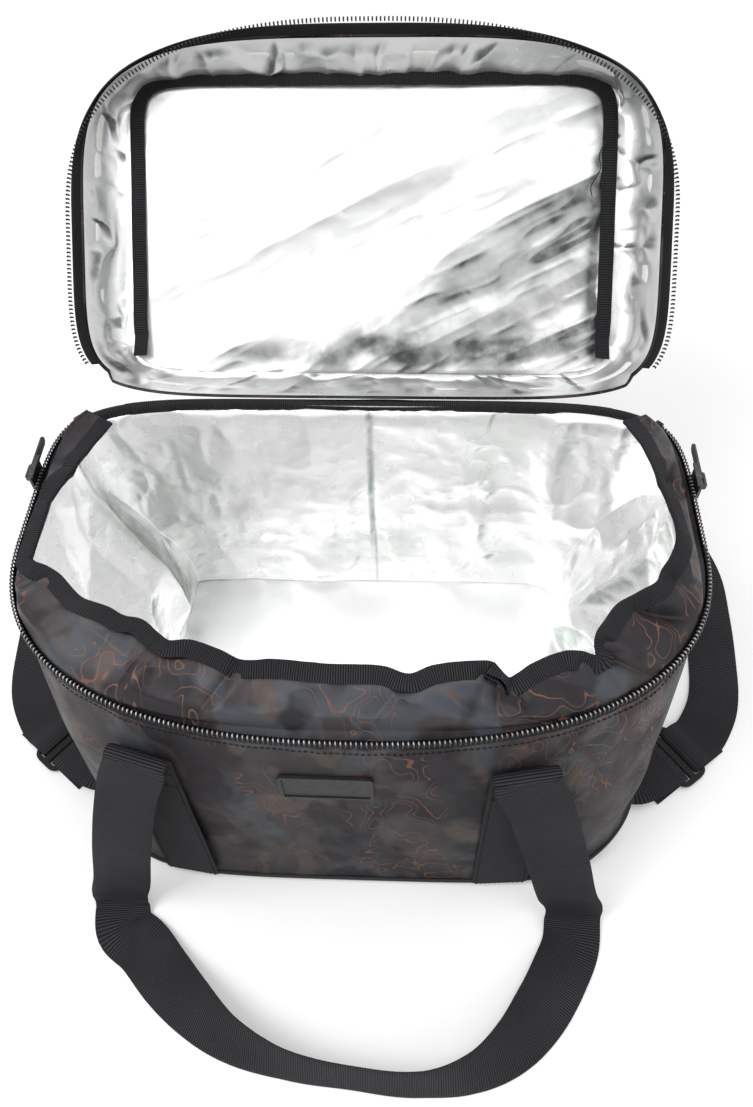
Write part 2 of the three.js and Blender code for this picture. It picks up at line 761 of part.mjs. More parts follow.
// Behind, the binding caps the panel, and its inner leg hangs over the foil.
function backBinding() {
  const profile = (share, thickness) => {
    const top = backHeight + GAP + thickness;
    const foot = backHeight + GAP + BINDING - BINDING_WIDTH;
    const inside = (z, height) => bodyPoint(share, height, -foilDepthAt(z) - FOIL - BINDING_ROOM - thickness);
    return [
      bodyPoint(share, top, 0),
      inside(backHeight, top),
      inside(foamHeight + 2 * GAP, foamHeight + 2 * GAP),
      inside(foot, foot),
    ];
  };
  return wall({
    from: cornerShare,
    to: 2 - cornerShare,
    face: (share) => profile(share, BINDING),
    lining: (share) => profile(share, 0),
  });
}

const collarLayer = {
  low: foamHeight + GAP,
  high: collarHeight,
  outer: collarDepth,
  thickness: CLOTH,
  rows: [MOUTH_HEIGHT],
};

bag.add(
  piece("collar", layer({ ...collarSpan, ...collarLayer }), "camouflage"),
  piece("liner_wall", foilWall(), "foil"),
  piece("collar_binding", collarBinding(), "webbing"),
  piece("back_binding", backBinding(), "webbing"),
);

// Body half of the zip

const zipSpan = { from: 2 - zipShare, to: 4 + zipShare };
const stopRoom = (STOP_LENGTH + 2 * GAP) * millimetre;
const bodyTapeSpan = { from: zipSpan.from - stopRoom, to: zipSpan.to + stopRoom };
const bodyTapeLow = panelHeight + GAP;
const bodyTapeHigh = bodyTapeLow + ZIP_TAPE_HEIGHT;
const bodyChainHigh = bodyTapeHigh + GAP + CHAIN_BASE + TOOTH_HEIGHT;
const chainOut = CHAIN_WIDTH - TAPE;
const bodyTape = { low: bodyTapeLow, high: bodyTapeHigh, outer: 0, thickness: TAPE };
const bodyChainPath = (share) => outlinePoint(mouth, angleAt(share), MOUTH_HEIGHT, 0);

// A small block clamped on the tape where the chain ends.
function zipStop(side) {
  const height = CHAIN_BASE + TOOTH_HEIGHT;
  const end = side > 0 ? zipShare : 2 - zipShare;
  const [near, far] = [GAP, GAP + STOP_LENGTH].map((distance) =>
    bodyPoint(end + side * distance * millimetre, MOUTH_HEIGHT, GAP),
  );
  const block = new THREE.BoxGeometry(CHAIN_WIDTH, STOP_LENGTH, height);
  const stop = piece(`zip_stop_${side > 0 ? "right" : "left"}`, block, "zip");
  stop.position.lerpVectors(near, far, 0.5).setZ(bodyTapeHigh + GAP + height / 2);
  stop.rotation.z = Math.atan2(far.y - near.y, far.x - near.x) - Math.PI / 2;
  return stop;
}

bag.add(
  piece("body_zip_tape", layer({ ...bodyTapeSpan, ...bodyTape }), "zip"),
  piece("body_zip_chain", chain(bodyChainPath, bodyTapeHigh + GAP, chainOut, TAPE, 1), "zip"),
  zipStop(1),
  zipStop(-1),
);

// Lid, built closed and then turned about the hinge line

const hingeY = BODY_BACK;
const lid = new THREE.Group();
lid.position.set(0, hingeY, hingeHeight);
lid.rotation.x = -THREE.MathUtils.degToRad(LID_OPEN_ANGLE);

function lidPiece(name, geometry, finish) {
  const mesh = piece(name, geometry, finish);
  mesh.position.set(0, -hingeY, -hingeHeight);
  lid.add(mesh);
}

const lidTopHeight = hingeHeight + LID_DEPTH;
const lidChainBase = bodyChainHigh + GAP + CHAIN_BASE + TOOTH_HEIGHT;
const lidTapeLow = lidChainBase + GAP;
const lidTapeHigh = lidTapeLow + LID_TAPE_HEIGHT;
const lidBackLow = hingeHeight + 2 * GAP;
const lidFoamDepth = CLOTH + LID_FOAM_ROOM;
const lidFoilDepth = lidFoamDepth + LID_FOAM + GAP;
const lidFoamHigh = lidTopHeight - GAP - LID_FOAM - GAP;

// The band follows the zip's tape, and behind the zip it reaches down to the hinge line.
const lidLow = (share) => mix(lidTapeHigh + GAP, lidBackLow, behindZip(share));
const lidFoamLow = (share) =>
  mix(hingeHeight + LID_FOAM_START, lidBackLow + LID_FOAM_BACK_START, behindZip(share));

const wholeLid = { from: 0, to: 4, point: lidPoint };
const lidBand = { low: lidLow, high: lidTopHeight - GAP, outer: 0, thickness: CLOTH };
const lidFoamBand = { low: lidFoamLow, high: lidFoamHigh, outer: lidFoamDepth, thickness: LID_FOAM };

// The foil of the band starts behind the tape, steps in over the foam's lower edge and runs up to the top.
function lidFoilBand() {
  const heights = (share) => {
    const step = lidFoamLow(share) - 2 * GAP - FOIL;
    return [lidLow(share), step - GAP, step + GAP, lidFoamHigh - GAP - FOIL];
  };
  const side = (share, extra) =>
    heights(share).map((z, i) => lidPoint(share, z, -(i < 2 ? lidFoamDepth : lidFoilDepth) - extra));
  return wall({ from: 0, to: 4, face: (share) => side(share, 0), lining: (share) => side(share, FOIL) });
}

const lidBinding = {
  low: lidFoamHigh - GAP - FOIL - BINDING_WIDTH,
  high: lidFoamHigh - GAP - FOIL,
  outer: lidFoilDepth + FOIL + BINDING_ROOM,
  thickness: BINDING,
};
const lidTape = { low: lidTapeLow, high: lidTapeHigh, outer: 0, thickness: TAPE };
const lidChainPath = (share) => outlinePoint(lidRim, angleAt(share), hingeHeight, 0);

lidPiece("lid_top_panel", dome(lidTopHeight, CLOTH, 0), "camouflage");
lidPiece("lid_side_band", layer({ ...wholeLid, ...lidBand }), "camouflage");
lidPiece("lid_foam_top", dome(lidTopHeight - GAP - LID_FOAM, LID_FOAM, lidFoamDepth), "foam");
lidPiece("lid_foam_band", layer({ ...wholeLid, ...lidFoamBand }), "foam");
lidPiece("lid_liner_top", dome(lidFoamHigh - FOIL, FOIL, lidFoilDepth), "foil");
lidPiece("lid_liner_band", lidFoilBand(), "foil");
lidPiece("lid_seam_binding", layer({ ...zipSpan, ...lidBinding, point: lidPoint }), "webbing");
lidPiece("lid_zip_tape", layer({ ...zipSpan, ...lidTape, point: lidPoint }), "zip");
lidPiece("lid_zip_chain", chain(lidChainPath, lidChainBase, chainOut, TAPE, -1), "zip");
bag.add(lid);

// A strip of webbing covers the seam under the hinge line, outside the back panel.
const hingeBandShare = shareWhere(0, 1, (share) => bodyPoint(share, MOUTH_HEIGHT, 0).x < HINGE_BAND_HALF_LENGTH);
const hingeBandHigh = backHeight + GAP;
const hingeBand = layer({
  from: hingeBandShare,
  to: 2 - hingeBandShare,
  low: hingeBandHigh - HINGE_BAND_WIDTH,
  high: hingeBandHigh,
  outer: -GAP - BINDING,
  thickness: BINDING,
});
bag.add(piece("hinge_band", hingeBand, "webbing"));

// Places on the front and back panels, by their x and height

function frontPoint(x, z, out) {
  return bodyPoint(
    shareWhere(2, 4, (share) => bodyPoint(share, z, 0).x > x),
    z,
    out,
  );
}

function backPoint(x, z, out) {
  return bodyPoint(
    shareWhere(0, 2, (share) => bodyPoint(share, z, 0).x < x),
    z,
    out,
  );
}

// Handles. Two strips are sewn up each panel. Above them the webbing folds over and hangs to the floor in two
// legs, and a grip joins the legs. The webbing is parted at the knee, where it bends when the handle is lifted.

const stripFoot = TRAY_LOW_RIM + PIPING / 2 + GAP;
const kneeY = BODY_BACK + KNEE_OUT;

function strip(centre, point, stripTop) {
  const heights = [stripFoot, ...bodyRows.filter((row) => row > stripFoot && row < stripTop), stripTop];
  const loops = [];
  const columns = 6;
  for (let i = 0; i <= columns; i++) {
    const x = centre + mix(-WEBBING_WIDTH / 2, WEBBING_WIDTH / 2, i / columns);
    const side = (out) => heights.map((z) => point(x, z, out));
    loops.push([...side(STRIP_ROOM + WEBBING), ...side(STRIP_ROOM).reverse()]);
  }
  return loft(loops, false);
}

// How far the strips of a panel reach outwards at the fold, which sets the hinge line of that handle.
function foldReach(point, centres, stripTop) {
  const reach = centres.flatMap((centre) =>
    [-1, 0, 1].map((edge) => Math.abs(point(centre + (edge * WEBBING_WIDTH) / 2, stripTop, STRIP_ROOM + WEBBING).y)),
  );
  return Math.max(...reach) + GAP;
}

// Where a leg stands out from the straight line between its fold and its knee: how far down, and by how much
const legBulges = [
  [0.24, 4],
  [0.5, 4],
  [0.78, 1],
];

// The knee's axis lies between the leg's end and the grip's start, each a setback away from it.
const legLean = THREE.MathUtils.degToRad(KNEE_LEG_LEAN);
const gripSlope = THREE.MathUtils.degToRad(KNEE_GRIP_SLOPE);
const legEnd = [kneeY - KNEE_SETBACK * Math.sin(legLean), KNEE_HEIGHT + KNEE_SETBACK * Math.cos(legLean)];
const gripStart = [kneeY + KNEE_SETBACK * Math.cos(gripSlope), KNEE_HEIGHT - KNEE_SETBACK * Math.sin(gripSlope)];

// One leg, from the fold to the knee. side is -1 on the left, and forward is -1 in front and 1 behind.
function leg({ top, knee, fold, foldHeight, forward, side }) {
  const across = [side, 0, 0];
  const outside = fold + WEBBING / 2;
  const hanging = legBulges.map(([t, bulge]) => ({
    at: [mix(top, knee, t ** LEG_SPLAY_CURVE), forward * (mix(fold, kneeY, t) + bulge), mix(foldHeight, KNEE_HEIGHT, t)],
    across,
  }));
  const stations = [
    { at: [top, forward * outside, foldHeight], across },
    { at: [top, forward * (outside + FOLD_STRAIGHT[0]), foldHeight - FOLD_STRAIGHT[1]], across },
    ...hanging,
    { at: [knee, forward * (kneeY - KNEE_STRAIGHT[0]), KNEE_HEIGHT + KNEE_STRAIGHT[1]], across },
    { at: [knee, forward * legEnd[0], legEnd[1]], across },
  ];
  return ribbon(stations, WEBBING_WIDTH, WEBBING, 2);
}

// The grip starts at the knees, lies flat beside them and tips up on its outer edge along the middle. Each row
// holds a point's share of the half width and of the reach, and the webbing's lean from flat in degrees. The
// lower edge stays on the floor, apart from the first and last points, which are at the knees.
function grip(rows, middle, halfWidth, reach, forward) {
  const last = rows.length - 1;
  const places = rows.map(([across, out]) => [middle + across * halfWidth, out ? kneeY + out * reach : gripStart[0]]);
  const stations = rows.map(([side, , lean], i) => {
    const [x, y] = places[i];
    const before = places[Math.max(i - 1, 0)];
    const after = places[Math.min(i + 1, last)];
    const along = new THREE.Vector2(after[0] - before[0], after[1] - before[1]).normalize();
    const atKnee = i === 0 || i === last;
    const outwards = atKnee ? [Math.sign(side), 0] : [-along.y, along.x];
    const tilt = THREE.MathUtils.degToRad(lean);
    const resting = (WEBBING_WIDTH / 2) * Math.sin(tilt) + (WEBBING / 2) * Math.cos(tilt) + FLOOR_ROOM;
    return {
      at: [x, forward * y, atKnee ? gripStart[1] : resting],
      across: [outwards[0] * Math.cos(tilt), forward * outwards[1] * Math.cos(tilt), -Math.sin(tilt)],
    };
  });
  return ribbon(stations, WEBBING_WIDTH, WEBBING, 3);
}

const flat = WEBBING / 2 + GAP;

const frontGripRows = [
  [-1, 0, 0],
  [-1, 0.126, 0],
  [-0.923, 0.274, 3],
  [-0.807, 0.459, 12],
  [-0.666, 0.644, 30],
  [-0.479, 0.811, 52],
  [-0.228, 0.931, 70],
  [0.061, 0.987, 76],
  [0.35, 0.996, 74],
  [0.576, 0.922, 60],
  [0.743, 0.774, 38],
  [0.871, 0.561, 16],
  [0.961, 0.33, 4],
  [1, 0.144, 0],
  [1, 0, 0],
];

// The back grip is even: the right half mirrors the left.
const backGripHalf = [
  [-1, 0, 0],
  [-1, 0.133, 0],
  [-0.953, 0.29, 3],
  [-0.84, 0.506, 12],
  [-0.687, 0.702, 30],
  [-0.487, 0.869, 52],
  [-0.253, 0.967, 70],
];
const backGripRows = [...backGripHalf, [0, 0.996, 74], ...backGripHalf.map(([x, y, lean]) => [-x, y, lean]).reverse()];

function handle({ name, point, foldMiddle, foldHeight, kneeMiddle, kneeSpread, reach, rows, forward }) {
  const folds = [-1, 1].map((side) => foldMiddle + side * FOLD_SPREAD * MOUTH_HALF_WIDTH);
  const halfWidth = kneeSpread * MOUTH_HALF_WIDTH;
  const stripTop = foldHeight - GAP;
  const fold = foldReach(point, folds, stripTop);
  [-1, 1].forEach((side, i) => {
    const end = side < 0 ? "left" : "right";
    const knee = kneeMiddle + side * halfWidth;
    bag.add(
      piece(`${name}_strip_${end}`, strip(folds[i], point, stripTop), "webbing"),
      piece(`${name}_leg_${end}`, leg({ top: folds[i], knee, fold, foldHeight, forward, side }), "webbing"),
    );
  });
  bag.add(piece(`${name}_grip`, grip(rows, kneeMiddle, halfWidth, reach, forward), "webbing"));
}

handle({
  name: "front_handle",
  point: frontPoint,
  foldMiddle: FRONT_FOLD_SHIFT,
  foldHeight: MOUTH_HEIGHT - FOLD_DROP.front,
  kneeMiddle: FRONT_KNEE_SHIFT,
  kneeSpread: KNEE_SPREAD.front,
  reach: GRIP_REACH.front,
  rows: frontGripRows,
  forward: -1,
});
handle({
  name: "back_handle",
  point: backPoint,
  foldMiddle: 0,
  foldHeight: MOUTH_HEIGHT - FOLD_DROP.back,
  kneeMiddle: 0,
  kneeSpread: KNEE_SPREAD.back,
  reach: GRIP_REACH.back,
  rows: backGripRows,
  forward: 1,
});

// Patch of soft rubber with a raised edge, on the front panel

const patchZ = MOUTH_HEIGHT - PATCH_DROP;

function patch() {
  const outline = roundedRectangle(PATCH_WIDTH, PATCH_HEIGHT, PATCH_CORNER, 3);
  const block = new THREE.ExtrudeGeometry(outline, { bevelEnabled: false, depth: PATCH + PATCH_RIDGE });
  const inside = [PATCH_WIDTH - 2 * PATCH_FRAME, PATCH_HEIGHT - 2 * PATCH_FRAME];
  const hollow = box(...inside, 2 * PATCH_RIDGE, 0, 0, PATCH + PATCH_RIDGE);
  const mesh = piece("front_patch", cut(block, [hollow]), "rubber");
  const left = frontPoint(PATCH_X - PATCH_WIDTH / 2, patchZ, 0);
  const right = frontPoint(PATCH_X + PATCH_WIDTH / 2, patchZ, 0);
  const low = frontPoint(PATCH_X, patchZ - PATCH_HEIGHT / 2, 0);
  const high = frontPoint(PATCH_X, patchZ + PATCH_HEIGHT / 2, 0);
  const across = right.clone().sub(left).normalize();
  const up = high.clone().sub(low).normalize();
  const out = new THREE.Vector3().crossVectors(across, up).normalize();
  up.crossVectors(out, across);
  mesh.quaternion.setFromRotationMatrix(new THREE.Matrix4().makeBasis(across, up, out));
  const middle = frontPoint(PATCH_X, patchZ, 0);
  const bulge = middle.clone().sub(left.clone().add(right).divideScalar(2)).dot(out);
  mesh.position.copy(middle).addScaledVector(out, GAP + PATCH_ROOM + Math.max(0, -bulge));
  return mesh;
}

bag.add(patch());

// Slide buckles, the tabs that hold them and the shoulder strap that runs between them behind the bag

const buckleTurn = THREE.MathUtils.degToRad(BUCKLE_TURN);
const buckleAxis = [Math.cos(buckleTurn), Math.sin(buckleTurn)];
const buckleLow = WEBBING + BUCKLE_LIFT;
const buckleHigh = buckleLow + BUCKLE;
const buckleWidth = WEBBING_WIDTH + 2 * (RAIL_ROOM + BUCKLE_RAIL);
const buckleLength = 3 * BUCKLE_BAR + 2 * BUCKLE_SLOT;

function buckle(side) {
  const outline = roundedRectangle(buckleLength, buckleWidth, BUCKLE_CORNER, 5);
  const block = new THREE.ExtrudeGeometry(outline, {
    depth: BUCKLE - 2 * BUCKLE_BEVEL,
    bevelThickness: BUCKLE_BEVEL,
    bevelSize: BUCKLE_BEVEL,
    bevelOffset: -BUCKLE_BEVEL,
    bevelSegments: 1,
  }).translate(0, 0, buckleLow + BUCKLE_BEVEL);
  const slots = [-1, 1].map((end) =>
    box(
      BUCKLE_SLOT,
      buckleWidth - 2 * BUCKLE_RAIL,
      2 * BUCKLE,
      (end * (BUCKLE_BAR + BUCKLE_SLOT)) / 2,
      0,
      (buckleLow + buckleHigh) / 2,
    ),
  );
  const mesh = piece(side > 0 ? "strap_buckle_right" : "strap_buckle_left", cut(block, slots), "moulded");
  mesh.position.set(side * buckleX, BUCKLE_Y, 0);
  mesh.rotation.z = side > 0 ? buckleTurn : Math.PI - buckleTurn;
  return mesh;
}

// The webbing's way round one end bar: over it, down through the slot and back beneath. Each entry is the
// distance from the buckle's middle along its axis, and the height.
const barMiddle = BUCKLE_SLOT + BUCKLE_BAR;
const barLoop = (() => {
  const inside = barMiddle - BUCKLE_BAR / 2 - LOOP_CLEARANCE;
  const corner = LOOP_CLEARANCE * Math.SQRT1_2;
  const edge = barMiddle - BUCKLE_BAR / 2;
  const over = buckleHigh + LOOP_CLEARANCE;
  const under = buckleLow - LOOP_CLEARANCE;
  return [
    [barMiddle + LOOP_LEAD, over],
    [edge + LOOP_EASE, over],
    [edge - corner, buckleHigh + corner],
    [inside, buckleHigh - LOOP_EASE],
    [inside, buckleLow + LOOP_EASE],
    [edge - corner, buckleLow - corner],
    [edge + LOOP_EASE, under],
    [barMiddle + LOOP_LEAD, under],
    [barMiddle + TAIL, flat],
  ];
})();

// Stations of a loop at the near (-1) or far (1) end of the right-hand buckle.
function loopStations(end) {
  return barLoop.map(([distance, z]) => ({
    at: [buckleX + end * distance * buckleAxis[0], BUCKLE_Y + end * distance * buckleAxis[1], z],
    across: [-buckleAxis[1], buckleAxis[0], 0],
  }));
}

const mirror = (stations) =>
  stations.map(({ at, across }) => ({ at: [-at[0], at[1], at[2]], across: [-across[0], across[1], across[2]] }));

// A tab leaves the side of the base, goes over the near bar and ends under itself.
function tab(side) {
  const tabHeight = buckleHigh + LOOP_CLEARANCE + TAB_LIFT;
  const halfWidth = WEBBING_WIDTH / 2;
  const wallX = Math.max(...[-1, 0, 1].map((edge) => sidePoint(TAB_START_Y + edge * halfWidth, tabHeight).x));
  const stations = [
    { at: [wallX + GAP, TAB_START_Y, tabHeight], across: [0, 1, 0] },
    { at: [wallX + TAB_STRAIGHT, TAB_START_Y, tabHeight], across: [0, 1, 0] },
    ...loopStations(-1),
  ];
  return ribbon(side > 0 ? stations : mirror(stations), WEBBING_WIDTH, WEBBING, 3);
}

function sidePoint(y, z) {
  const outline = bodyOutline(z);
  const n = outline.frontSquareness;
  const x = outline.halfWidth * (1 - (Math.abs(y) / outline.front) ** n) ** (1 / n);
  return new THREE.Vector3(x, y, z);
}

// Half of the strap's way, from the right buckle to the middle behind the bag. Each row holds a point's shares
// of the side and back reach, and how far it is lifted off the floor, in thicknesses of the webbing.
const strapRows = [
  [0.954, -0.003, 1.1],
  [0.975, 0.053, 0.55],
  [0.989, 0.14, 0],
  [1, 0.28, 0],
  [1, 0.399, 0],
  [0.961, 0.514, 0],
  [0.868, 0.654, 0],
  [0.73, 0.794, 0],
  [0.534, 0.91, 0],
  [0.285, 0.978, 0],
  [0, 1, 0],
];

function shoulderStrap() {
  const exit = barMiddle + LOOP_EXIT;
  const right = loopStations(1).reverse();
  right.push({
    at: [buckleX + exit * buckleAxis[0], BUCKLE_Y + exit * buckleAxis[1], WEBBING * 1.5 + 3 * GAP],
    across: [-buckleAxis[1], buckleAxis[0], 0],
  });
  const last = strapRows.length - 1;
  const places = strapRows.map(([x, y]) => [x * strapSideReach, y * strapBackReach]);
  places.forEach(([x, y], i) => {
    const before = places[Math.max(i - 1, 0)];
    const after = places[Math.min(i + 1, last)];
    const along = new THREE.Vector2(after[0] - before[0], i === last ? 0 : after[1] - before[1]).normalize();
    right.push({ at: [x, y, flat + strapRows[i][2] * WEBBING], across: [-along.y, along.x, 0] });
  });
  const left = mirror(right.slice(0, -1)).reverse();
  return ribbon([...right, ...left], WEBBING_WIDTH, WEBBING, 2);
}

bag.add(
  buckle(1),
  buckle(-1),
  piece("strap_tab_right", tab(1), "webbing"),
  piece("strap_tab_left", tab(-1), "webbing"),
  piece("shoulder_strap", shoulderStrap(), "webbing"),
);

// Zip sliders: a channel over both chains with a crown, and a pull whose end bar lies in the crown

const channelLow = bodyTapeHigh - SLIDER_OVERHANG;
const channelHigh = lidTapeLow + SLIDER_OVERHANG;
const channelMiddle = (channelLow + channelHigh) / 2;
const channelHeight = channelHigh - channelLow + 2 * SLIDER_LIP;
const channelDepth = chainOut + SLIDER_CLEARANCE;

function sliderBody() {
  const plate = box(SLIDER_PLATE, SLIDER_LENGTH, channelHeight, channelDepth + SLIDER_PLATE / 2, 0, 0);
  const lipDepth = channelDepth - GAP;
  const lipMiddle = channelDepth + SLIDER_JOIN - lipDepth / 2;
  const lipHeight = (channelHeight - SLIDER_LIP) / 2;
  const lip = (side) => box(lipDepth, SLIDER_LENGTH, SLIDER_LIP, lipMiddle, 0, side * lipHeight);
  const half = CROWN_LENGTH / 2;
  const crown = new THREE.Shape([
    new THREE.Vector2(-SLIDER_JOIN, -half),
    new THREE.Vector2(CROWN_HEIGHT - CROWN_BEVEL, -half),
    new THREE.Vector2(CROWN_HEIGHT, CROWN_BEVEL - half),
    new THREE.Vector2(CROWN_HEIGHT, half - CROWN_BEVEL),
    new THREE.Vector2(CROWN_HEIGHT - CROWN_BEVEL, half),
    new THREE.Vector2(-SLIDER_JOIN, half),
  ]);
  const block = new THREE.ExtrudeGeometry(crown, { depth: CROWN_WIDTH, bevelEnabled: false });
  const window = box(2 * CROWN_WINDOW, CROWN_LENGTH - 2 * CROWN_POST, 2 * CROWN_WIDTH, 0, 0, CROWN_WIDTH / 2);
  const arch = cut(block, [window]).translate(channelDepth + SLIDER_PLATE, 0, -CROWN_WIDTH / 2);
  return joined([plate, lip(1), lip(-1), arch]);
}

function pullTab() {
  const half = PULL_WIDTH / 2;
  const points = [new THREE.Vector2(-PULL / 2, half), new THREE.Vector2(-PULL / 2, -half)];
  for (let i = 0; i <= 8; i++) {
    const angle = (i / 8 - 0.5) * Math.PI;
    points.push(new THREE.Vector2(PULL_LENGTH - half + half * Math.cos(angle), half * Math.sin(angle)));
  }
  const block = new THREE.ExtrudeGeometry(new THREE.Shape(points), { depth: PULL, bevelEnabled: false });
  const eye = box(PULL_EYE - PULL / 2, PULL_WIDTH - 2 * PULL_ARM, 2 * PULL, (PULL_EYE + PULL / 2) / 2, 0, PULL / 2);
  return cut(block, [eye]).translate(0, 0, -PULL / 2);
}

const pullOut = channelDepth + SLIDER_PLATE + CROWN_WINDOW / 2;

// The left slider is the right one turned half round; both pulls point to the back.
function slider(side) {
  const name = side > 0 ? "right" : "left";
  const body = piece(`zip_slider_${name}`, sliderBody(), "slider");
  const pull = piece(`zip_pull_${name}`, pullTab(), "slider");
  const back = new THREE.Vector3(0, side, 0);
  const up = new THREE.Vector3(0, 0, 1);
  pull.quaternion.setFromRotationMatrix(new THREE.Matrix4().makeBasis(back, up, new THREE.Vector3(side, 0, 0)));
  pull.position.set(pullOut, 0, 0);
  const group = new THREE.Group();
  group.add(body, pull);
  group.position.set(side * MOUTH_HALF_WIDTH, SLIDER_Y, channelMiddle);
  if (side < 0) group.rotation.z = Math.PI;
  return group;
}

bag.add(slider(1), slider(-1));

export default bag;
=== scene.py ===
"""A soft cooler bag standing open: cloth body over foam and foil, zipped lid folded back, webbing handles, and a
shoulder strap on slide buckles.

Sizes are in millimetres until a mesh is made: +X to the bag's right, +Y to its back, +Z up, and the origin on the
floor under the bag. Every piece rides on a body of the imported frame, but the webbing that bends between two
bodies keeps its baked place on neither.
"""

from __future__ import annotations

import json
import logging
import math
from dataclasses import dataclass, field
from enum import Enum

import bmesh
import bpy
import numpy as np
from mathutils import Matrix, Vector

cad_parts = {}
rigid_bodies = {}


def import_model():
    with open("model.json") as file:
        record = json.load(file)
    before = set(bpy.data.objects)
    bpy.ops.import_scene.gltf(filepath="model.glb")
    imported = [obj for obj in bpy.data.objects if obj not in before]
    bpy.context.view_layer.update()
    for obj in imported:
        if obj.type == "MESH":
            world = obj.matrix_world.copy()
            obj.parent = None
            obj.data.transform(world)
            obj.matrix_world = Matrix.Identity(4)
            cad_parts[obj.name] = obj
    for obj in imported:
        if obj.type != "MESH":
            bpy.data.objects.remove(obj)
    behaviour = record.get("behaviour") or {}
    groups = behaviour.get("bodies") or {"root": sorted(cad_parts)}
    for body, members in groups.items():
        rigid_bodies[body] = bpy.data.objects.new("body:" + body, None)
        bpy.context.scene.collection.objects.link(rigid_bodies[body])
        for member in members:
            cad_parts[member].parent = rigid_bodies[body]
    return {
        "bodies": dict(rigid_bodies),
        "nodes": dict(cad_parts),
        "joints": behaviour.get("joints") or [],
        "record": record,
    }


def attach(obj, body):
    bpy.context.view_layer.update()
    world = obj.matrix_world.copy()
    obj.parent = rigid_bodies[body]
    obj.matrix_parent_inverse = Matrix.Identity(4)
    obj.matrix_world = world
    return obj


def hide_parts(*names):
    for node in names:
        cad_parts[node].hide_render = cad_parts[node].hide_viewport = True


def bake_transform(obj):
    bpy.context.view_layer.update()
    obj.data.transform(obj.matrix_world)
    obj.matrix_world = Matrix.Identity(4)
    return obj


Array = np.ndarray
Object = bpy.types.Object
Material = bpy.types.Material
Socket = bpy.types.NodeSocket
Colour = tuple[float, float, float]

MM = 0.001
UP = np.array([0, 0, 1.0])
QUARTER_STEPS = 400
ZIP_STEPS = 1500
ROD_TURNS = 6
log = logging.getLogger("cooler_bag")


# Numbers and noise


def mix(a: Array | float, b: Array | float, t: Array | float) -> Array | float:
    """Straight blend: a at t 0 and b at t 1."""
    return a + (b - a) * t


def eased(value: Array, low: float, high: float) -> Array:
    """Eased step 3t^2 - 2t^3 of value between low and high."""
    t = np.clip((value - low) / (high - low), 0, 1)
    return t * t * (3 - 2 * t)


def stack(x: Array | float, y: Array | float, z: Array | float) -> Array:
    """Points from three arrays of coordinates."""
    return np.stack(np.broadcast_arrays(x, y, z), -1).astype(float)


def unit(vectors: Array) -> Array:
    """The vectors scaled to length 1."""
    return vectors / np.maximum(np.linalg.norm(vectors, axis=-1, keepdims=True), 1e-12)


def lattice(cells: Array, seed: int) -> Array:
    """A fixed random value from -1 to 1 for each whole cell, by multiplying and folding the bits of its numbers.

    Args:
        cells: whole numbers, of shape (..., 3).
        seed: picks another pattern.

    Returns:
        One value for each cell.
    """
    x, y, z = (cells[..., axis].astype(np.int64) & 0xFFFFFFFF for axis in range(3))
    n = (x * 374761393 + y * 668265263 + z * 1442695041 + seed * 974634777) & 0xFFFFFFFF
    n = ((n ^ (n >> 13)) * 1274126177) & 0xFFFFFFFF
    n = ((n ^ (n >> 15)) * 2246822519) & 0xFFFFFFFF
    return (n ^ (n >> 16)) / 2147483647.5 - 1


def noise(points: Array, seed: int = 0) -> Array:
    """Smooth noise from -1 to 1: lattice values blended along each axis by 6t^5 - 15t^4 + 10t^3.

    Args:
        points: places of shape (..., 3), in cells.
        seed: picks another pattern.

    Returns:
        One value for each place.
    """
    cell = np.floor(points)
    t = points - cell
    t = t**3 * (t * (6 * t - 15) + 10)
    total = np.zeros(points.shape[:-1])
    for corner in np.ndindex(2, 2, 2):
        weight = np.prod(np.where(np.array(corner) == 1, t, 1 - t), -1)
        total += weight * lattice(cell + corner, seed)
    return total


def crumple(points: Array, size: float, seed: int, octaves: int = 4, gain: float = 0.52) -> Array:
    """Height of crumpled foil: the sum over octaves of 1 - 2|noise|, whose ridges are sharp creases.

    Args:
        points: places in millimetres, of shape (..., 3).
        size: length of the largest facets.
        seed: picks another pattern.
        octaves: how many times the pattern is added at half the size.
        gain: height of each octave against the one before.

    Returns:
        Heights of about -1 to 1.
    """
    total = np.zeros(points.shape[:-1])
    height, reach = 1.0, 0.0
    warp = 0.35 * stack(*(noise(points / size, seed + 40 + axis) for axis in range(3)))
    for octave in range(octaves):
        total += height * (1 - 2 * np.abs(noise(points / size * 2**octave * 0.9 + warp, seed + octave)))
        reach += height
        height *= gain
    return total / reach - 0.35


def path_lengths(points: Array) -> Array:
    """Length along a path from its first point to each of its points."""
    return np.concatenate([[0], np.cumsum(np.linalg.norm(np.diff(points, axis=0), axis=1))])


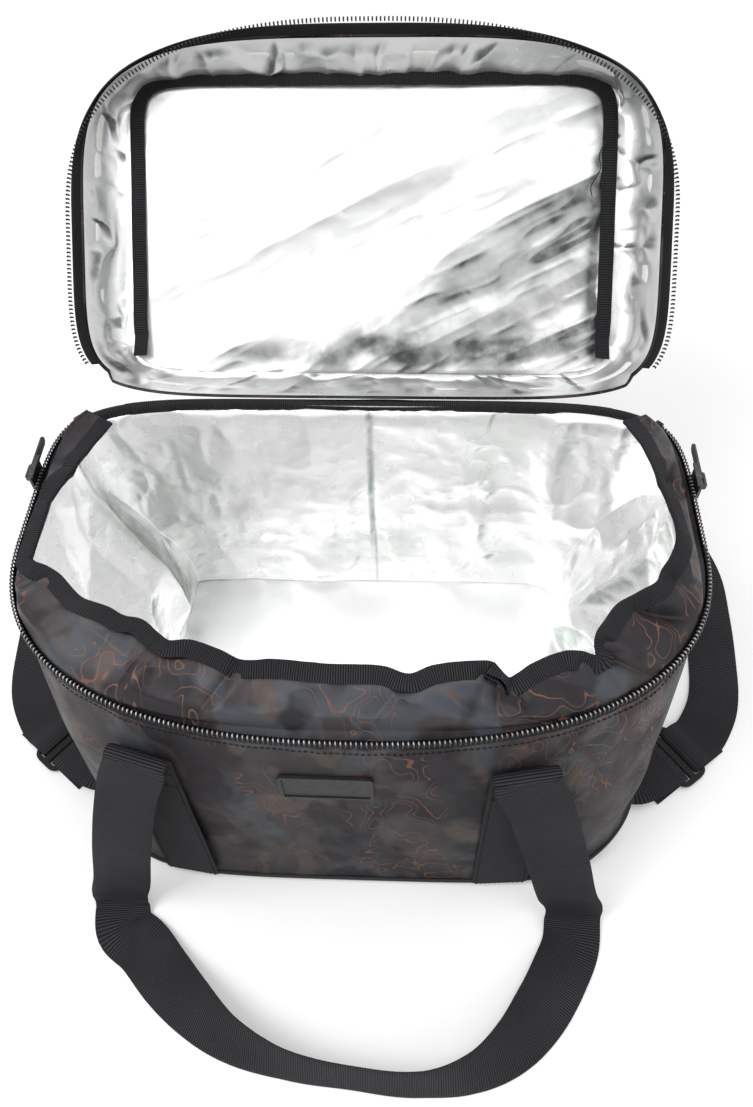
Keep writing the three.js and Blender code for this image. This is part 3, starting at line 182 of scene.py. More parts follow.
def spline(points: Array, per_span: int) -> tuple[Array, Array]:
    """A smooth curve through points: the centripetal Catmull-Rom cubic, with its ends continued straight.

    Args:
        points: the points it passes, of shape (n, 3).
        per_span: steps between two of them.

    Returns:
        The places along the curve, and the curve's directions there.
    """
    p = np.vstack([2 * points[0] - points[1], points, 2 * points[-1] - points[-2]])
    gaps = np.sum(np.diff(p, axis=0) ** 2, -1) ** 0.25
    p0, p1, p2, p3 = p[:-3], p[1:-2], p[2:-1], p[3:]
    middle = np.where(gaps[1:-1] < 1e-4, 1.0, gaps[1:-1])[:, None]
    before = np.where(gaps[:-2] < 1e-4, middle[:, 0], gaps[:-2])[:, None]
    after = np.where(gaps[2:] < 1e-4, middle[:, 0], gaps[2:])[:, None]
    start = ((p1 - p0) / before - (p2 - p0) / (before + middle) + (p2 - p1) / middle) * middle
    end = ((p2 - p1) / middle - (p3 - p1) / (middle + after) + (p3 - p2) / after) * middle
    square = -3 * p1 + 3 * p2 - 2 * start - end
    cube = 2 * p1 - 2 * p2 + start + end
    t = np.linspace(0, 1, per_span, endpoint=False)[None, :, None]
    span = lambda a: a[:, None, :]
    places = span(p1) + span(start) * t + span(square) * t**2 + span(cube) * t**3
    along = span(start) + 2 * span(square) * t + 3 * span(cube) * t**2
    last = start[-1] + 2 * square[-1] + 3 * cube[-1]
    return np.vstack([places.reshape(-1, 3), points[-1]]), unit(np.vstack([along.reshape(-1, 3), last]))


# Outlines of the bag


@dataclass(frozen=True)
class Outline:
    """One height's outline: |x / half_width|^n + |y / depth|^n = 1, with its own depth and n before and behind."""

    half_width: float
    front: float
    back: float
    front_n: float
    back_n: float

    def values(self) -> Array:
        """The five numbers as an array, so that two outlines can be blended."""
        return np.array([self.half_width, self.front, self.back, self.front_n, self.back_n])


def drawn_in(values: Array, distance: float) -> Array:
    """An outline's five numbers, with its width and both depths less by a distance."""
    return values - distance * np.array([1, 1, 1, 0, 0])


def outline_point(values: Array, angle: Array, z: Array, out: Array | float = 0.0) -> Array:
    """The point of an outline in a direction, moved out along its normal.

    The point is at radius (|cos|/w)^n + (|sin|/d)^n to the power -1/n, and the normal is the slope of that sum.

    Args:
        values: the outline's five numbers, of shape (..., 5).
        angle: direction from the middle, in radians.
        z: height of the point.
        out: distance outside the outline.

    Returns:
        Points of shape (..., 3).
    """
    c, s = np.cos(angle), np.sin(angle)
    width = values[..., 0]
    depth = np.where(s < 0, values[..., 1], values[..., 2])
    n = np.where(s < 0, values[..., 3], values[..., 4])
    u, v = np.abs(c) / width, np.abs(s) / depth
    radius = (u**n + v**n) ** (-1 / n)
    normal_x = np.sign(c) * (u * radius) ** (n - 1) / width
    normal_y = np.sign(s) * (v * radius) ** (n - 1) / depth
    length = np.hypot(normal_x, normal_y)
    return stack(radius * c + out * normal_x / length, radius * s + out * normal_y / length, z)


@dataclass(frozen=True)
class Form:
    """The bag's outlines at every height, and the shares that run evenly round them.

    Share 0 is the right side, 1 the back, 2 the left and 3 the front.
    """

    base: Outline = Outline(193.5, 136.6, 120, 4.5, 7)
    mouth: Outline = Outline(206, 129, 120, 2.35, 6)
    collar: Outline = Outline(179.5, 103, 106, 2.6, 5)
    lid_rim: Outline = Outline(204, 126, 119.5, 2.5, 6)
    lid_top: Outline = Outline(184, 106, 110.5, 7, 7)
    mouth_height: float = 219.6
    collar_height: float = 27
    hinge_y: float = 120
    hinge_height: float = 219.4
    lid_depth: float = 46.5
    lid_angle: float = 138
    belly: float = 4

    def table(self) -> tuple[Array, Array]:
        """Directions round the mouth, and the share of each by length along the outline."""
        angles = np.linspace(0, 2 * math.pi, 4 * QUARTER_STEPS + 1)
        lengths = path_lengths(outline_point(self.mouth.values(), angles, 0.0))
        corners = np.arange(5)
        return angles, np.interp(lengths, lengths[corners * QUARTER_STEPS], corners)

    def angle(self, share: Array) -> Array:
        """Direction from the middle at a share."""
        angles, shares = self.table()
        return np.interp(np.mod(share, 4), shares, angles)

    def share_of(self, points: Array) -> Array:
        """Share of each point by its direction from the middle."""
        angles, shares = self.table()
        return np.interp(np.mod(np.arctan2(points[..., 1], points[..., 0]), 2 * math.pi), angles, shares)

    def body_values(self, z: Array) -> Array:
        """The body's outline at a height: base blended into mouth, and the collar above.

        The sides swell by a sine, and the front comes back to the mouth's depth by 1 - (1 - t)^2.

        Args:
            z: heights.

        Returns:
            Five numbers for each height.
        """
        t = np.clip(np.asarray(z / self.mouth_height)[..., None], 0, 1)
        above = np.clip((z - self.mouth_height) / self.collar_height, 0, 1.4)
        low = mix(self.base.values(), self.mouth.values(), t)
        low[..., :1] += self.belly * np.sin(math.pi * t)
        low[..., 1:2] = mix(self.base.front, self.mouth.front, 1 - (1 - t) ** 2)
        high = mix(self.mouth.values(), self.collar.values(), np.asarray(above)[..., None])
        return np.where(np.asarray(above)[..., None] > 0, high, low)

    def body(self, share: Array, z: Array, out: Array | float = 0.0) -> Array:
        """Points of the body's wall."""
        share, z = np.broadcast_arrays(share, z)
        return outline_point(self.body_values(z), self.angle(share), z, out)

    def lid(self, share: Array, z: Array, out: Array | float = 0.0) -> Array:
        """Points of the closed lid's side, whose outline blends from the rim to the top."""
        share, z = np.broadcast_arrays(share, z)
        t = np.asarray((z - self.hinge_height) / self.lid_depth)[..., None]
        values = mix(self.lid_rim.values(), self.lid_top.values(), t)
        return outline_point(values, self.angle(share), z, out)

    def opened(self, points: Array) -> Array:
        """Points of the closed lid turned back about the hinge line."""
        turn = math.radians(self.lid_angle)
        y, z = points[..., 1] - self.hinge_y, points[..., 2] - self.hinge_height
        c, s = math.cos(turn), math.sin(turn)
        return stack(points[..., 0], self.hinge_y + y * c + z * s, self.hinge_height - y * s + z * c)

    def face(self, x: Array, z: Array, out: Array | float, side: int) -> Array:
        """Points of the front (side -1) or back (side 1) by their x and height, moved out along the normal.

        Args:
            x: places across.
            z: heights.
            out: distance outside the wall.
            side: -1 for the front and 1 for the back.

        Returns:
            Points of shape (..., 3).
        """
        x, z = np.broadcast_arrays(np.asarray(x, float), np.asarray(z, float))
        values = self.body_values(z)
        width = values[..., 0]
        depth = values[..., 1 if side < 0 else 2]
        n = values[..., 3 if side < 0 else 4]
        across = np.abs(x) / width
        y = (1 - across**n) ** (1 / n)
        normal = unit(stack(np.sign(x) * across ** (n - 1) / width, side * y ** (n - 1) / depth, 0.0))
        return stack(x, side * y * depth, z) + normal * np.asarray(out)[..., None]

    def share_at_y(self, y: float) -> float:
        """Where the right back quarter of the mouth reaches a given y."""
        shares = np.linspace(0, 0.999, 2000)
        return float(np.interp(y, self.body(shares, np.full(2000, self.mouth_height))[:, 1], shares))


FORM = Form()
SEAM = FORM.share_at_y(65)
ZIP_END = FORM.share_at_y(97)
COLLAR_END = FORM.share_at_y(101)

# Patterns that run along the zip measure a share as this many millimetres
SHARE_LENGTH = 250.0
ZIP_FADE = 10.0


def behind_zip(share: Array) -> Array:
    """How far a share is past the zip's end: 0 at the zip and 1 along the hinge line."""
    past = 1 - ZIP_END - np.abs(np.mod(share + 4, 4) - 1)
    return np.clip(past * SHARE_LENGTH / ZIP_FADE - 1, 0, 1)


def all_round(count: int) -> Array:
    """Shares spaced evenly all the way round, as a column."""
    return np.linspace(0, 4, count, endpoint=False)[:, None]


def round_front(end: float, count: int) -> Array:
    """Shares from an end on the left, round the front, to the same end on the right."""
    return np.linspace(2 - end, 4 + end, count)


def zip_line(rim: Outline, z: float) -> Array:
    """Points along the zip, on an outline at one height."""
    return outline_point(rim.values(), FORM.angle(round_front(ZIP_END, ZIP_STEPS)), z)


# Meshes


def surface(name: str, grid: Array, wrap: tuple[bool, bool] = (False, False), flip: bool = False) -> Object:
    """A mesh of quads over a grid of points, with a UV map that measures lengths along both ways in metres.

    Args:
        name: the object's name.
        grid: points of shape (rows, columns, 3), in millimetres.
        wrap: whether the last row joins the first, and the last column the first.
        flip: turns the faces over.

    Returns:
        The new object.
    """
    rows, columns = grid.shape[:2]
    i, j = np.meshgrid(np.arange(rows - (not wrap[0])), np.arange(columns - (not wrap[1])), indexing="ij")
    corners = [(0, 0), (1, 0), (1, 1), (0, 1)]
    if flip:
        corners.reverse()
    quads = np.stack([((i + a) % rows) * columns + (j + b) % columns for a, b in corners], -1).reshape(-1, 4)
    rounded = np.concatenate([grid, grid[:1]], 0), np.concatenate([grid, grid[:, :1]], 1)
    along = np.linalg.norm(np.diff(rounded[0], axis=0), axis=-1).mean(1)
    across = np.linalg.norm(np.diff(rounded[1], axis=1), axis=-1).mean(0)
    u = np.concatenate([[0], np.cumsum(along)]) * MM
    v = np.concatenate([[0], np.cumsum(across)]) * MM
    uv = np.stack([np.stack([u[i + a], v[j + b]], -1) for a, b in corners], -2).reshape(-1, 2)
    return mesh_object(name, grid.reshape(-1, 3), quads, uv)


def mesh_object(name: str, points: Array, quads: Array, uv: Array | None = None) -> Object:
    """An object at the origin whose smooth mesh has these points, in millimetres, and quads.

    Args:
        name: the object's name.
        points: places of shape (n, 3).
        quads: point numbers of shape (m, 4).
        uv: a place in the UV map for each corner of the quads.

    Returns:
        The new object.
    """
    mesh = bpy.data.meshes.new(name)
    mesh.vertices.add(len(points))
    mesh.vertices.foreach_set("co", (points * MM).astype(np.float32).ravel())
    mesh.loops.add(4 * len(quads))
    mesh.loops.foreach_set("vertex_index", quads.astype(np.int32).ravel())
    mesh.polygons.add(len(quads))
    mesh.polygons.foreach_set("loop_start", np.arange(0, 4 * len(quads), 4, dtype=np.int32))
    mesh.polygons.foreach_set("use_smooth", np.ones(len(quads), bool))
    if uv is not None:
        mesh.uv_layers.new(name="length").data.foreach_set("uv", uv.astype(np.float32).ravel())
    mesh.update(calc_edges=True)
    obj = bpy.data.objects.new(name, mesh)
    bpy.context.scene.collection.objects.link(obj)
    return obj


def welded(obj: Object) -> Object:
    """Merges points that lie together, so that poles and capped ends are closed.

    Args:
        obj: the object to close.

    Returns:
        The same object.
    """
    work = bmesh.new()
    work.from_mesh(obj.data)
    bmesh.ops.remove_doubles(work, verts=work.verts, dist=2e-6)
    bmesh.ops.dissolve_degenerate(work, edges=work.edges, dist=1e-7)
    work.to_mesh(obj.data)
    work.free()
    return obj


def thickened(obj: Object, thickness: float, offset: float = -1) -> Object:
    """Gives a sheet its thickness in millimetres, inwards unless offset says otherwise."""
    solid = obj.modifiers.new("thickness", "SOLIDIFY")
    solid.thickness = thickness * MM
    solid.offset = offset
    return obj


def tube(name: str, loops: Array, flip: bool = False) -> Object:
    """A closed tube through loops of points of shape (steps, count, 3), its ends closed at their middles.

    Args:
        name: the object's name.
        loops: rings of points.
        flip: turns the faces over.

    Returns:
        The new object.
    """
    ends = [np.repeat(loops[k].mean(0)[None], loops.shape[1], 0)[None] for k in (0, -1)]
    obj = welded(surface(name, np.concatenate([ends[0], loops, ends[1]], 0), (False, True), flip))
    obj.data.set_sharp_from_angle(angle=math.radians(50))
    return obj


def marked(obj: Object, attribute: str, values: Array) -> Object:
    """Gives a mesh one number for each point, as an attribute that a finish reads."""
    data = obj.data.attributes.new(attribute, "FLOAT", "POINT").data
    data.foreach_set("value", values.astype(np.float32).ravel())
    return obj


def shaded(obj: Object, height: Array, steps: tuple[float, float], more: Array | float = 0.0) -> Object:
    """Marks painted shade where a grid's height climbs, as the attribute "folded" that foil darkens by.

    The mark is an eased step of 0.6 of the slope from row to row plus the slope from column to column, and a given
    part. The climbing slopes stand for facets that face away from the light.

    Args:
        obj: the object made from the grid.
        height: heights of the grid's points.
        steps: distances between rows and between columns.
        more: painted shade from 0 to 1 for each point, added to that.

    Returns:
        The same object.
    """
    slope = 0.6 * np.gradient(height, axis=0) / steps[0] + np.gradient(height, axis=1) / steps[1]
    return marked(obj, "folded", np.clip(eased(slope, 0.09, 0.42) + more, 0, 1))


def disc(values: Array, counts: tuple[int, int]) -> Array:
    """Points that fill an outline: a square grid whose rings are drawn out to the outline's shape.

    A grid point (a, b) has ring number max(|a|, |b|), and lies at that share of the outline's radius.

    Args:
        values: the outline's five numbers.
        counts: grid points across and deep.

    Returns:
        Points of shape (across, deep, 3) at height 0.
    """
    a, b = np.meshgrid(np.linspace(-1, 1, counts[0]), np.linspace(-1, 1, counts[1]), indexing="ij")
    ring = np.maximum(np.abs(a), np.abs(b))
    depth = np.where(b < 0, values[1], values[2])
    angle = np.arctan2(b * depth, a * values[0])
    edge = outline_point(np.broadcast_to(values, a.shape + (5,)), angle, 0.0)
    return edge * ring[..., None]


def band_profile(width: float, thickness: float) -> tuple[Array, Array]:
    """Cross-section of webbing: two flat faces that thin out at their edges as 1 - 0.6|s|^12."""
    s = np.linspace(-1, 1, 13)
    up = (1 - 0.6 * np.abs(s) ** 12) * thickness / 2
    side = s * width / 2
    return np.concatenate([side, side[::-1]]), np.concatenate([up, -up[::-1]])


def band_loops(places: Array, along: Array, across: Array, width: float, thickness: float) -> Array:
    """The loops of a flat band: the webbing's profile carried along a path.

    Args:
        places: points along its middle line.
        along: directions of the path.
        across: rough directions from its inner to its outer edge, squared to the path here.
        width: width of the band.
        thickness: thickness of the band.

    Returns:
        Points of shape (steps, 26, 3).
    """
    across = unit(across - along * np.sum(across * along, -1, keepdims=True))
    face = np.cross(across, along)
    side, up = band_profile(width, thickness)
    wave = 0.25 * noise(places / 23, 5)[:, None, None]
    return places[:, None] + across[:, None] * side[:, None] + face[:, None] * (up[:, None] + wave)


def webbing(name: str, stations: Array, across: Array, per_span: int, width: float, thickness: float) -> Object:
    """A flat band along a spline through stations, closed at both ends."""
    places, along = spline(stations, per_span)
    edges, _ = spline(across, per_span)
    return tube(name, band_loops(places, along, edges, width, thickness))


def rods(name: str, points: Array, ends: Array | None = None, flip: bool = False) -> Object:
    """Many alike rods in one mesh, with quads from each ring of points to the next.

    Args:
        name: the object's name.
        points: rings of points, of shape (rods, rings, points in a ring, 3).
        ends: quads that close one rod, by the numbers of its points.
        flip: turns the faces over.

    Returns:
        The new object.
    """
    count, rings, turns = points.shape[:3]
    i, j = np.meshgrid(np.arange(rings - 1), np.arange(turns), indexing="ij")
    corners = [i * turns + j, i * turns + (j + 1) % turns, (i + 1) * turns + (j + 1) % turns, (i + 1) * turns + j]
    quads = np.stack(corners, -1).reshape(-1, 4)
    if ends is not None:
        quads = np.concatenate([quads, ends])
    if flip:
        quads = quads[:, ::-1]
    quads = (quads[None] + rings * turns * np.arange(count)[:, None, None]).reshape(-1, 4)
    return mesh_object(name, points.reshape(-1, 3), quads)


def beads(name: str, places: Array, along: Array, across: Array, length: float, radius: float) -> Object:
    """Many small rounded rods in one mesh, such as stitches: each has rings at -1, -0.6, 0.6 and 1 of its length.

    Args:
        name: the object's name.
        places: the rods' middles.
        along: their directions.
        across: any directions square to those.
        length: length of each.
        radius: radius of each.

    Returns:
        The new object.
    """
    turns = np.linspace(0, 2 * math.pi, ROD_TURNS, endpoint=False)
    lengthwise = np.array([-1, -0.6, 0.6, 1]) * length / 2
    size = np.array([0.02, 1, 1, 0.02]) * radius
    third = np.cross(along, across)
    ring = across[:, None, :] * np.cos(turns)[None, :, None] + third[:, None, :] * np.sin(turns)[None, :, None]
    points = places[:, None, None] + along[:, None, None] * lengthwise[None, :, None, None]
    return rods(name, points + ring[:, None] * size[None, :, None, None])


def evenly(points: Array, pitch: float) -> tuple[Array, Array]:
    """Places every pitch along a path of close points, and the path's directions there.

    Args:
        points: the path.
        pitch: distance wanted between two places.

    Returns:
        The places and the directions.
    """
    lengths = path_lengths(points)
    at = np.linspace(0, lengths[-1], max(2, round(lengths[-1] / pitch) + 1))
    places = stack(*(np.interp(at, lengths, points[:, axis]) for axis in range(3)))
    return places, unit(np.gradient(places, axis=0))


# Shader nodes


class Nodes:
    """Adds and joins nodes in one shader tree."""

    def __init__(self, tree: bpy.types.NodeTree) -> None:
        """Keeps the tree that the nodes go into."""
        self.tree = tree

    def add(self, kind: str, inputs: dict[str | int, object] | None = None, **settings: object) -> bpy.types.Node:
        """Adds one node.

        Args:
            kind: the node's type name after "ShaderNode".
            inputs: values or sockets by input name or number.
            **settings: the node's own settings.

        Returns:
            The new node.
        """
        node = self.tree.nodes.new("ShaderNode" + kind)
        for key, value in settings.items():
            setattr(node, key, value)
        for key, value in (inputs or {}).items():
            self.feed(node.inputs[key], value)
        return node

    def feed(self, socket: Socket, value: object) -> None:
        """Joins a socket to value if that is a socket, and otherwise sets it.

        Args:
            socket: input of a node.
            value: socket, number or colour.
        """
        if isinstance(value, bpy.types.NodeSocket):
            self.tree.links.new(value, socket)
        elif socket.type == "RGBA" and len(value) == 3:
            socket.default_value = (*value, 1)
        else:
            socket.default_value = value

    def math(self, operation: str, a: object, b: object = 0.0, c: object = 0.0) -> Socket:
        """The result of a Math node."""
        return self.add("Math", {0: a, 1: b, 2: c}, operation=operation).outputs[0]

    def times(self, a: object, b: object, plus: object = None) -> Socket:
        """The product of two values, with a third added to it if there is one."""
        return self.math("MULTIPLY", a, b) if plus is None else self.math("MULTIPLY_ADD", a, b, plus)

    def blend(self, share: object, a: object, b: object) -> Socket:
        """A colour blended from a to b."""
        node = self.add("Mix", data_type="RGBA")
        for index, value in ((0, share), (6, a), (7, b)):
            self.feed(node.inputs[index], value)
        return node.outputs[2]

    def ramp(self, value: Socket, low: float, high: float, to_low: float = 0.0, to_high: float = 1.0) -> Socket:
        """Value carried from low..high to to_low..to_high, and held at both ends."""
        settings = {"Value": value, "From Min": low, "From Max": high, "To Min": to_low, "To Max": to_high}
        return self.add("MapRange", settings).outputs[0]

    def noise(self, vector: Socket, scale: float, detail: float = 2.0, roughness: float = 0.5) -> Socket:
        """Noise from 0 to 1."""
        settings = {"Vector": vector, "Scale": scale, "Detail": detail, "Roughness": roughness}
        return self.add("TexNoise", settings).outputs[0]


class Effect(Enum):
    """Effects that several finishes share, each a node group that is built once."""

    WEAVE = "weave"
    RIBS = "ribs"
    LINT = "lint"
    CREASES = "creases"

    def place(self, nodes: Nodes, vector: Socket, size: float, amount: float = 1.0) -> Socket:
        """Puts the effect into a material.

        Args:
            nodes: the material's nodes.
            vector: coordinates in metres.
            size: pitch or scale of the pattern, in metres.
            amount: strength of the effect, or for lint its share of the surface.

        Returns:
            The group's value, from 0 to 1.
        """
        group = nodes.tree.nodes.new("ShaderNodeGroup")
        group.node_tree = bpy.data.node_groups.get(self.value) or self.make()
        nodes.feed(group.inputs["Vector"], vector)
        group.inputs["Size"].default_value = size
        group.inputs["Amount"].default_value = amount
        return group.outputs["Value"]

    def make(self) -> bpy.types.NodeTree:
        """Builds the group: sockets first, then the pattern of this effect.

        Returns:
            The new node group.
        """
        tree = bpy.data.node_groups.new(self.value, "ShaderNodeTree")
        tree.interface.new_socket("Vector", in_out="INPUT", socket_type="NodeSocketVector")
        for name, way in (("Size", "INPUT"), ("Amount", "INPUT"), ("Value", "OUTPUT")):
            tree.interface.new_socket(name, in_out=way, socket_type="NodeSocketFloat")
        entry, end = tree.nodes.new("NodeGroupInput"), tree.nodes.new("NodeGroupOutput")
        nodes = Nodes(tree)
        per_size = nodes.math("DIVIDE", 1.0, entry.outputs["Size"])
        place = {0: entry.outputs["Vector"], "Scale": per_size}
        scaled = nodes.add("VectorMath", place, operation="SCALE").outputs[0]
        patterns = {self.WEAVE: self.weave, self.RIBS: self.ribs, self.LINT: self.lint, self.CREASES: self.creases}
        pattern = patterns[self](nodes, scaled, entry.outputs["Amount"])
        nodes.feed(end.inputs["Value"], pattern)
        return tree

    @staticmethod
    def weave(nodes: Nodes, vector: Socket, amount: Socket) -> Socket:
        """Over and under threads: sin(2 pi u) sin(2 pi v), brought to 0..1.

        Args:
            nodes: the group's nodes.
            vector: place, in cells of the pattern.
            amount: strength.

        Returns:
            Value of the pattern.
        """
        parts = nodes.add("SeparateXYZ", {0: vector})
        waves = [nodes.math("SINE", nodes.times(parts.outputs[k], 2 * math.pi)) for k in (0, 1)]
        product = nodes.times(nodes.times(waves[0], waves[1]), amount)
        return nodes.times(product, 0.5, 0.5)

    @staticmethod
    def ribs(nodes: Nodes, vector: Socket, amount: Socket) -> Socket:
        """Ribs square to u: |sin(pi u)|, with threads across them.

        Args:
            nodes: the group's nodes.
            vector: place, in cells of the pattern.
            amount: strength.

        Returns:
            Value of the pattern.
        """
        parts = nodes.add("SeparateXYZ", {0: vector})
        rib = nodes.math("ABSOLUTE", nodes.math("SINE", nodes.times(parts.outputs[0], math.pi)))
        thread = nodes.math("SINE", nodes.times(parts.outputs[1], 4 * math.pi))
        return nodes.times(nodes.times(thread, 0.12, rib), amount)

    @staticmethod
    def lint(nodes: Nodes, vector: Socket, amount: Socket) -> Socket:
        """Few pale specks: the peaks of fine noise, broken up by a coarser one.

        Args:
            nodes: the group's nodes.
            vector: place, in cells.
            amount: share of the surface.

        Returns:
            Value of the specks.
        """
        fine = nodes.noise(vector, 1.0, 1.0)
        coarse = nodes.noise(vector, 0.06, 3.0)
        level = nodes.times(coarse, 0.25, fine)
        edge = nodes.math("SUBTRACT", 1.02, nodes.times(amount, 0.2))
        return nodes.add("MapRange", {"Value": level, "From Min": edge, "From Max": 1.1}).outputs[0]

    @staticmethod
    def creases(nodes: Nodes, vector: Socket, amount: Socket) -> Socket:
        """Sharp creases: 1 - |2 noise - 1| at three sizes, each half as high as the last.

        Args:
            nodes: the group's nodes.
            vector: place, in cells of the pattern.
            amount: strength.

        Returns:
            Value of the pattern.
        """
        total: Socket | float = 0.0
        for octave in range(3):
            value = nodes.noise(vector, 2.1**octave, 1.0)
            ridge = nodes.math("ABSOLUTE", nodes.times(value, 2.0, -1.0))
            total = nodes.times(ridge, -(0.5**octave), total)
        return nodes.times(total, amount, 1.0)


@dataclass(frozen=True)
class Finish:
    """What every finish has: its name, roughness, metal and shine. Each kind's make method adds its own pattern."""

    name: str
    roughness: float = 0.7
    metallic: float = 0.0
    specular: float = 0.5

    def material(self) -> Material:
        """The finish's material, built at its first use. Its name keeps clear of the CAD's own materials.

        Returns:
            The material.
        """
        name = f"finish_{self.name}"
        found = bpy.data.materials.get(name)
        if found:
            return found
        made = bpy.data.materials.new(name)
        made.use_nodes = True
        nodes = Nodes(made.node_tree)
        shader = made.node_tree.nodes["Principled BSDF"]
        sockets = {"Roughness": self.roughness, "Metallic": self.metallic, "Specular IOR Level": self.specular}
        for socket, value in sockets.items():
            shader.inputs[socket].default_value = value
        self.make(nodes, shader)
        return made

    def make(self, nodes: Nodes, shader: bpy.types.Node) -> None:
        """Builds the pattern. Each kind of finish has its own."""
        raise NotImplementedError

    @staticmethod
    def object_coordinates(nodes: Nodes) -> Socket:
        """Coordinates that stay with the object, in metres."""
        return nodes.add("TexCoord").outputs["Object"]

    @staticmethod
    def lengths(nodes: Nodes) -> Socket:
        """The piece's own UV map, which measures its surface in metres."""
        return nodes.add("UVMap", uv_map="length").outputs["UV"]

    @staticmethod
    def linted(nodes: Nodes, where: Socket, colour: Socket, look: tuple[float, float, float, float]) -> Socket:
        """A colour under pale lint, whose look is its size in metres, its share, its strength and its grey."""
        size, cover, strength, grey = look
        lint = Effect.LINT.place(nodes, where, size, cover)
        return nodes.blend(nodes.times(lint, strength), colour, (grey,) * 3)

    def patchy(self, nodes: Nodes, shader: bpy.types.Node, patches: Socket, less: float, more: float) -> None:
        """Lets noise take the roughness from less below its own value to more above it."""
        rough = nodes.ramp(patches, 0.3, 0.7, self.roughness - less, self.roughness + more)
        nodes.feed(shader.inputs["Roughness"], rough)

    @staticmethod
    def relief(nodes: Nodes, shader: bpy.types.Node, height: Socket, depth: float, strength: float = 1.0) -> None:
        """Feeds a height into the shader's normal, with its real depth in millimetres."""
        bump = nodes.add("Bump", {"Height": height, "Distance": depth * MM, "Strength": strength})
        nodes.feed(shader.inputs["Normal"], bump.outputs[0])


@dataclass(frozen=True)
class MottledCloth(Finish):
    """Dark coated cloth with soft blotches of several near-blacks and thin rust-brown contour lines."""

    ground: Colour = (0.042, 0.036, 0.038)
    cool: Colour = (0.050, 0.055, 0.065)
    warm: Colour = (0.070, 0.054, 0.048)
    dark: Colour = (0.009, 0.007, 0.010)
    line: Colour = (0.170, 0.076, 0.048)
    specular: float = 0.1

    def make(self, nodes: Nodes, shader: bpy.types.Node) -> None:
        """Blotches from noise at three scales, contour lines where another noise passes set levels, and a weave.

        Args:
            nodes: the material's nodes.
            shader: its Principled BSDF.
        """
        place = self.object_coordinates(nodes)
        where = nodes.add("VectorMath", {0: place, 1: (1.0, 1.0, 0.66)}, operation="MULTIPLY").outputs[0]
        warp = nodes.add("TexNoise", {"Vector": where, "Scale": 26.0, "Detail": 2.0}).outputs["Color"]
        spread = nodes.add("VectorMath", {0: warp, "Scale": 0.03}, operation="SCALE").outputs[0]
        bent = nodes.add("VectorMath", {0: where, 1: spread}, operation="ADD").outputs[0]
        blotches = ((24.0, 2.5, 0.52, 0.56), (36.0, 2.0, 0.57, 0.60), (19.0, 3.0, 0.50, 0.56))
        cool, warm, dark = (
            nodes.ramp(nodes.noise(bent, scale, detail), low, high) for scale, detail, low, high in blotches
        )
        colour = nodes.blend(cool, self.ground, self.cool)
        colour = nodes.blend(warm, colour, self.warm)
        colour = nodes.blend(nodes.times(dark, 0.8), colour, self.dark)
        contour = nodes.noise(bent, 42.0, 1.0)
        line: Socket | float = 0.0
        for level in (0.42, 0.5, 0.58):
            away = nodes.math("ABSOLUTE", nodes.math("SUBTRACT", contour, level))
            line = nodes.math("MAXIMUM", nodes.ramp(away, 0.003, 0.0065, 1.0, 0.0), line)
        patches = nodes.ramp(nodes.noise(where, 21.0, 1.0), 0.5, 0.56)
        colour = nodes.blend(nodes.times(nodes.times(line, patches), 0.85), colour, self.line)
        colour = self.linted(nodes, where, colour, (0.0012, 0.55, 0.35, 0.3))
        nodes.feed(shader.inputs["Base Color"], colour)
        self.patchy(nodes, shader, nodes.noise(where, 60.0, 3.0), 0.1, 0.08)
        weave = Effect.WEAVE.place(nodes, self.lengths(nodes), 0.0009)
        soft = Effect.CREASES.place(nodes, where, 0.018, 0.6)
        self.relief(nodes, shader, nodes.times(weave, 0.16, soft), 0.55, 0.7)


@dataclass(frozen=True)
class PlainCloth(Finish):
    """Plain dark cloth, woven, with faint blotches."""

    colour: Colour = (0.034, 0.032, 0.035)
    pitch: float = 0.0008
    specular: float = 0.2

    def make(self, nodes: Nodes, shader: bpy.types.Node) -> None:
        """A plain weave over a slightly uneven dark colour with a little lint.

        Args:
            nodes: the material's nodes.
            shader: its Principled BSDF.
        """
        where = self.object_coordinates(nodes)
        worn = tuple(1.7 * part for part in self.colour)
        colour = nodes.blend(nodes.ramp(nodes.noise(where, 22.0, 4.0), 0.35, 0.75, 0.0, 0.5), self.colour, worn)
        nodes.feed(shader.inputs["Base Color"], self.linted(nodes, where, colour, (0.0011, 0.6, 0.4, 0.35)))
        weave = Effect.WEAVE.place(nodes, self.lengths(nodes), self.pitch)
        soft = nodes.noise(where, 90.0, 3.0)
        self.relief(nodes, shader, nodes.times(weave, 0.3, soft), 0.4, 0.6)


@dataclass(frozen=True)
class Ribbed(Finish):
    """Webbing and tape with ribs across their length or along it."""

    colour: Colour = (0.019, 0.018, 0.021)
    pitch: float = 0.0015
    depth: float = 0.4
    contrast: float = 2.4
    specular: float = 0.16

    def make(self, nodes: Nodes, shader: bpy.types.Node) -> None:
        """Ribs from the UV map that also paint shade into their grooves and light onto their tops, with worn paler
        patches and lint.

        Args:
            nodes: the material's nodes.
            shader: its Principled BSDF.
        """
        where = self.object_coordinates(nodes)
        ribs = Effect.RIBS.place(nodes, self.lengths(nodes), self.pitch)
        worn = nodes.ramp(nodes.noise(where, 18.0, 4.0), 0.35, 0.7, 0.6, 1.0)
        # Painted light and shade: rib tops go to the pale colour and the grooves to the deep one.
        pale = tuple(self.contrast * part for part in self.colour)
        deep = tuple(part / self.contrast / 1.5 for part in self.colour)
        colour = nodes.blend(nodes.times(nodes.ramp(ribs, 0.35, 0.95), worn), deep, pale)
        nodes.feed(shader.inputs["Base Color"], self.linted(nodes, where, colour, (0.0010, 0.7, 0.3, 0.2)))
        self.relief(nodes, shader, ribs, self.depth, 0.9)


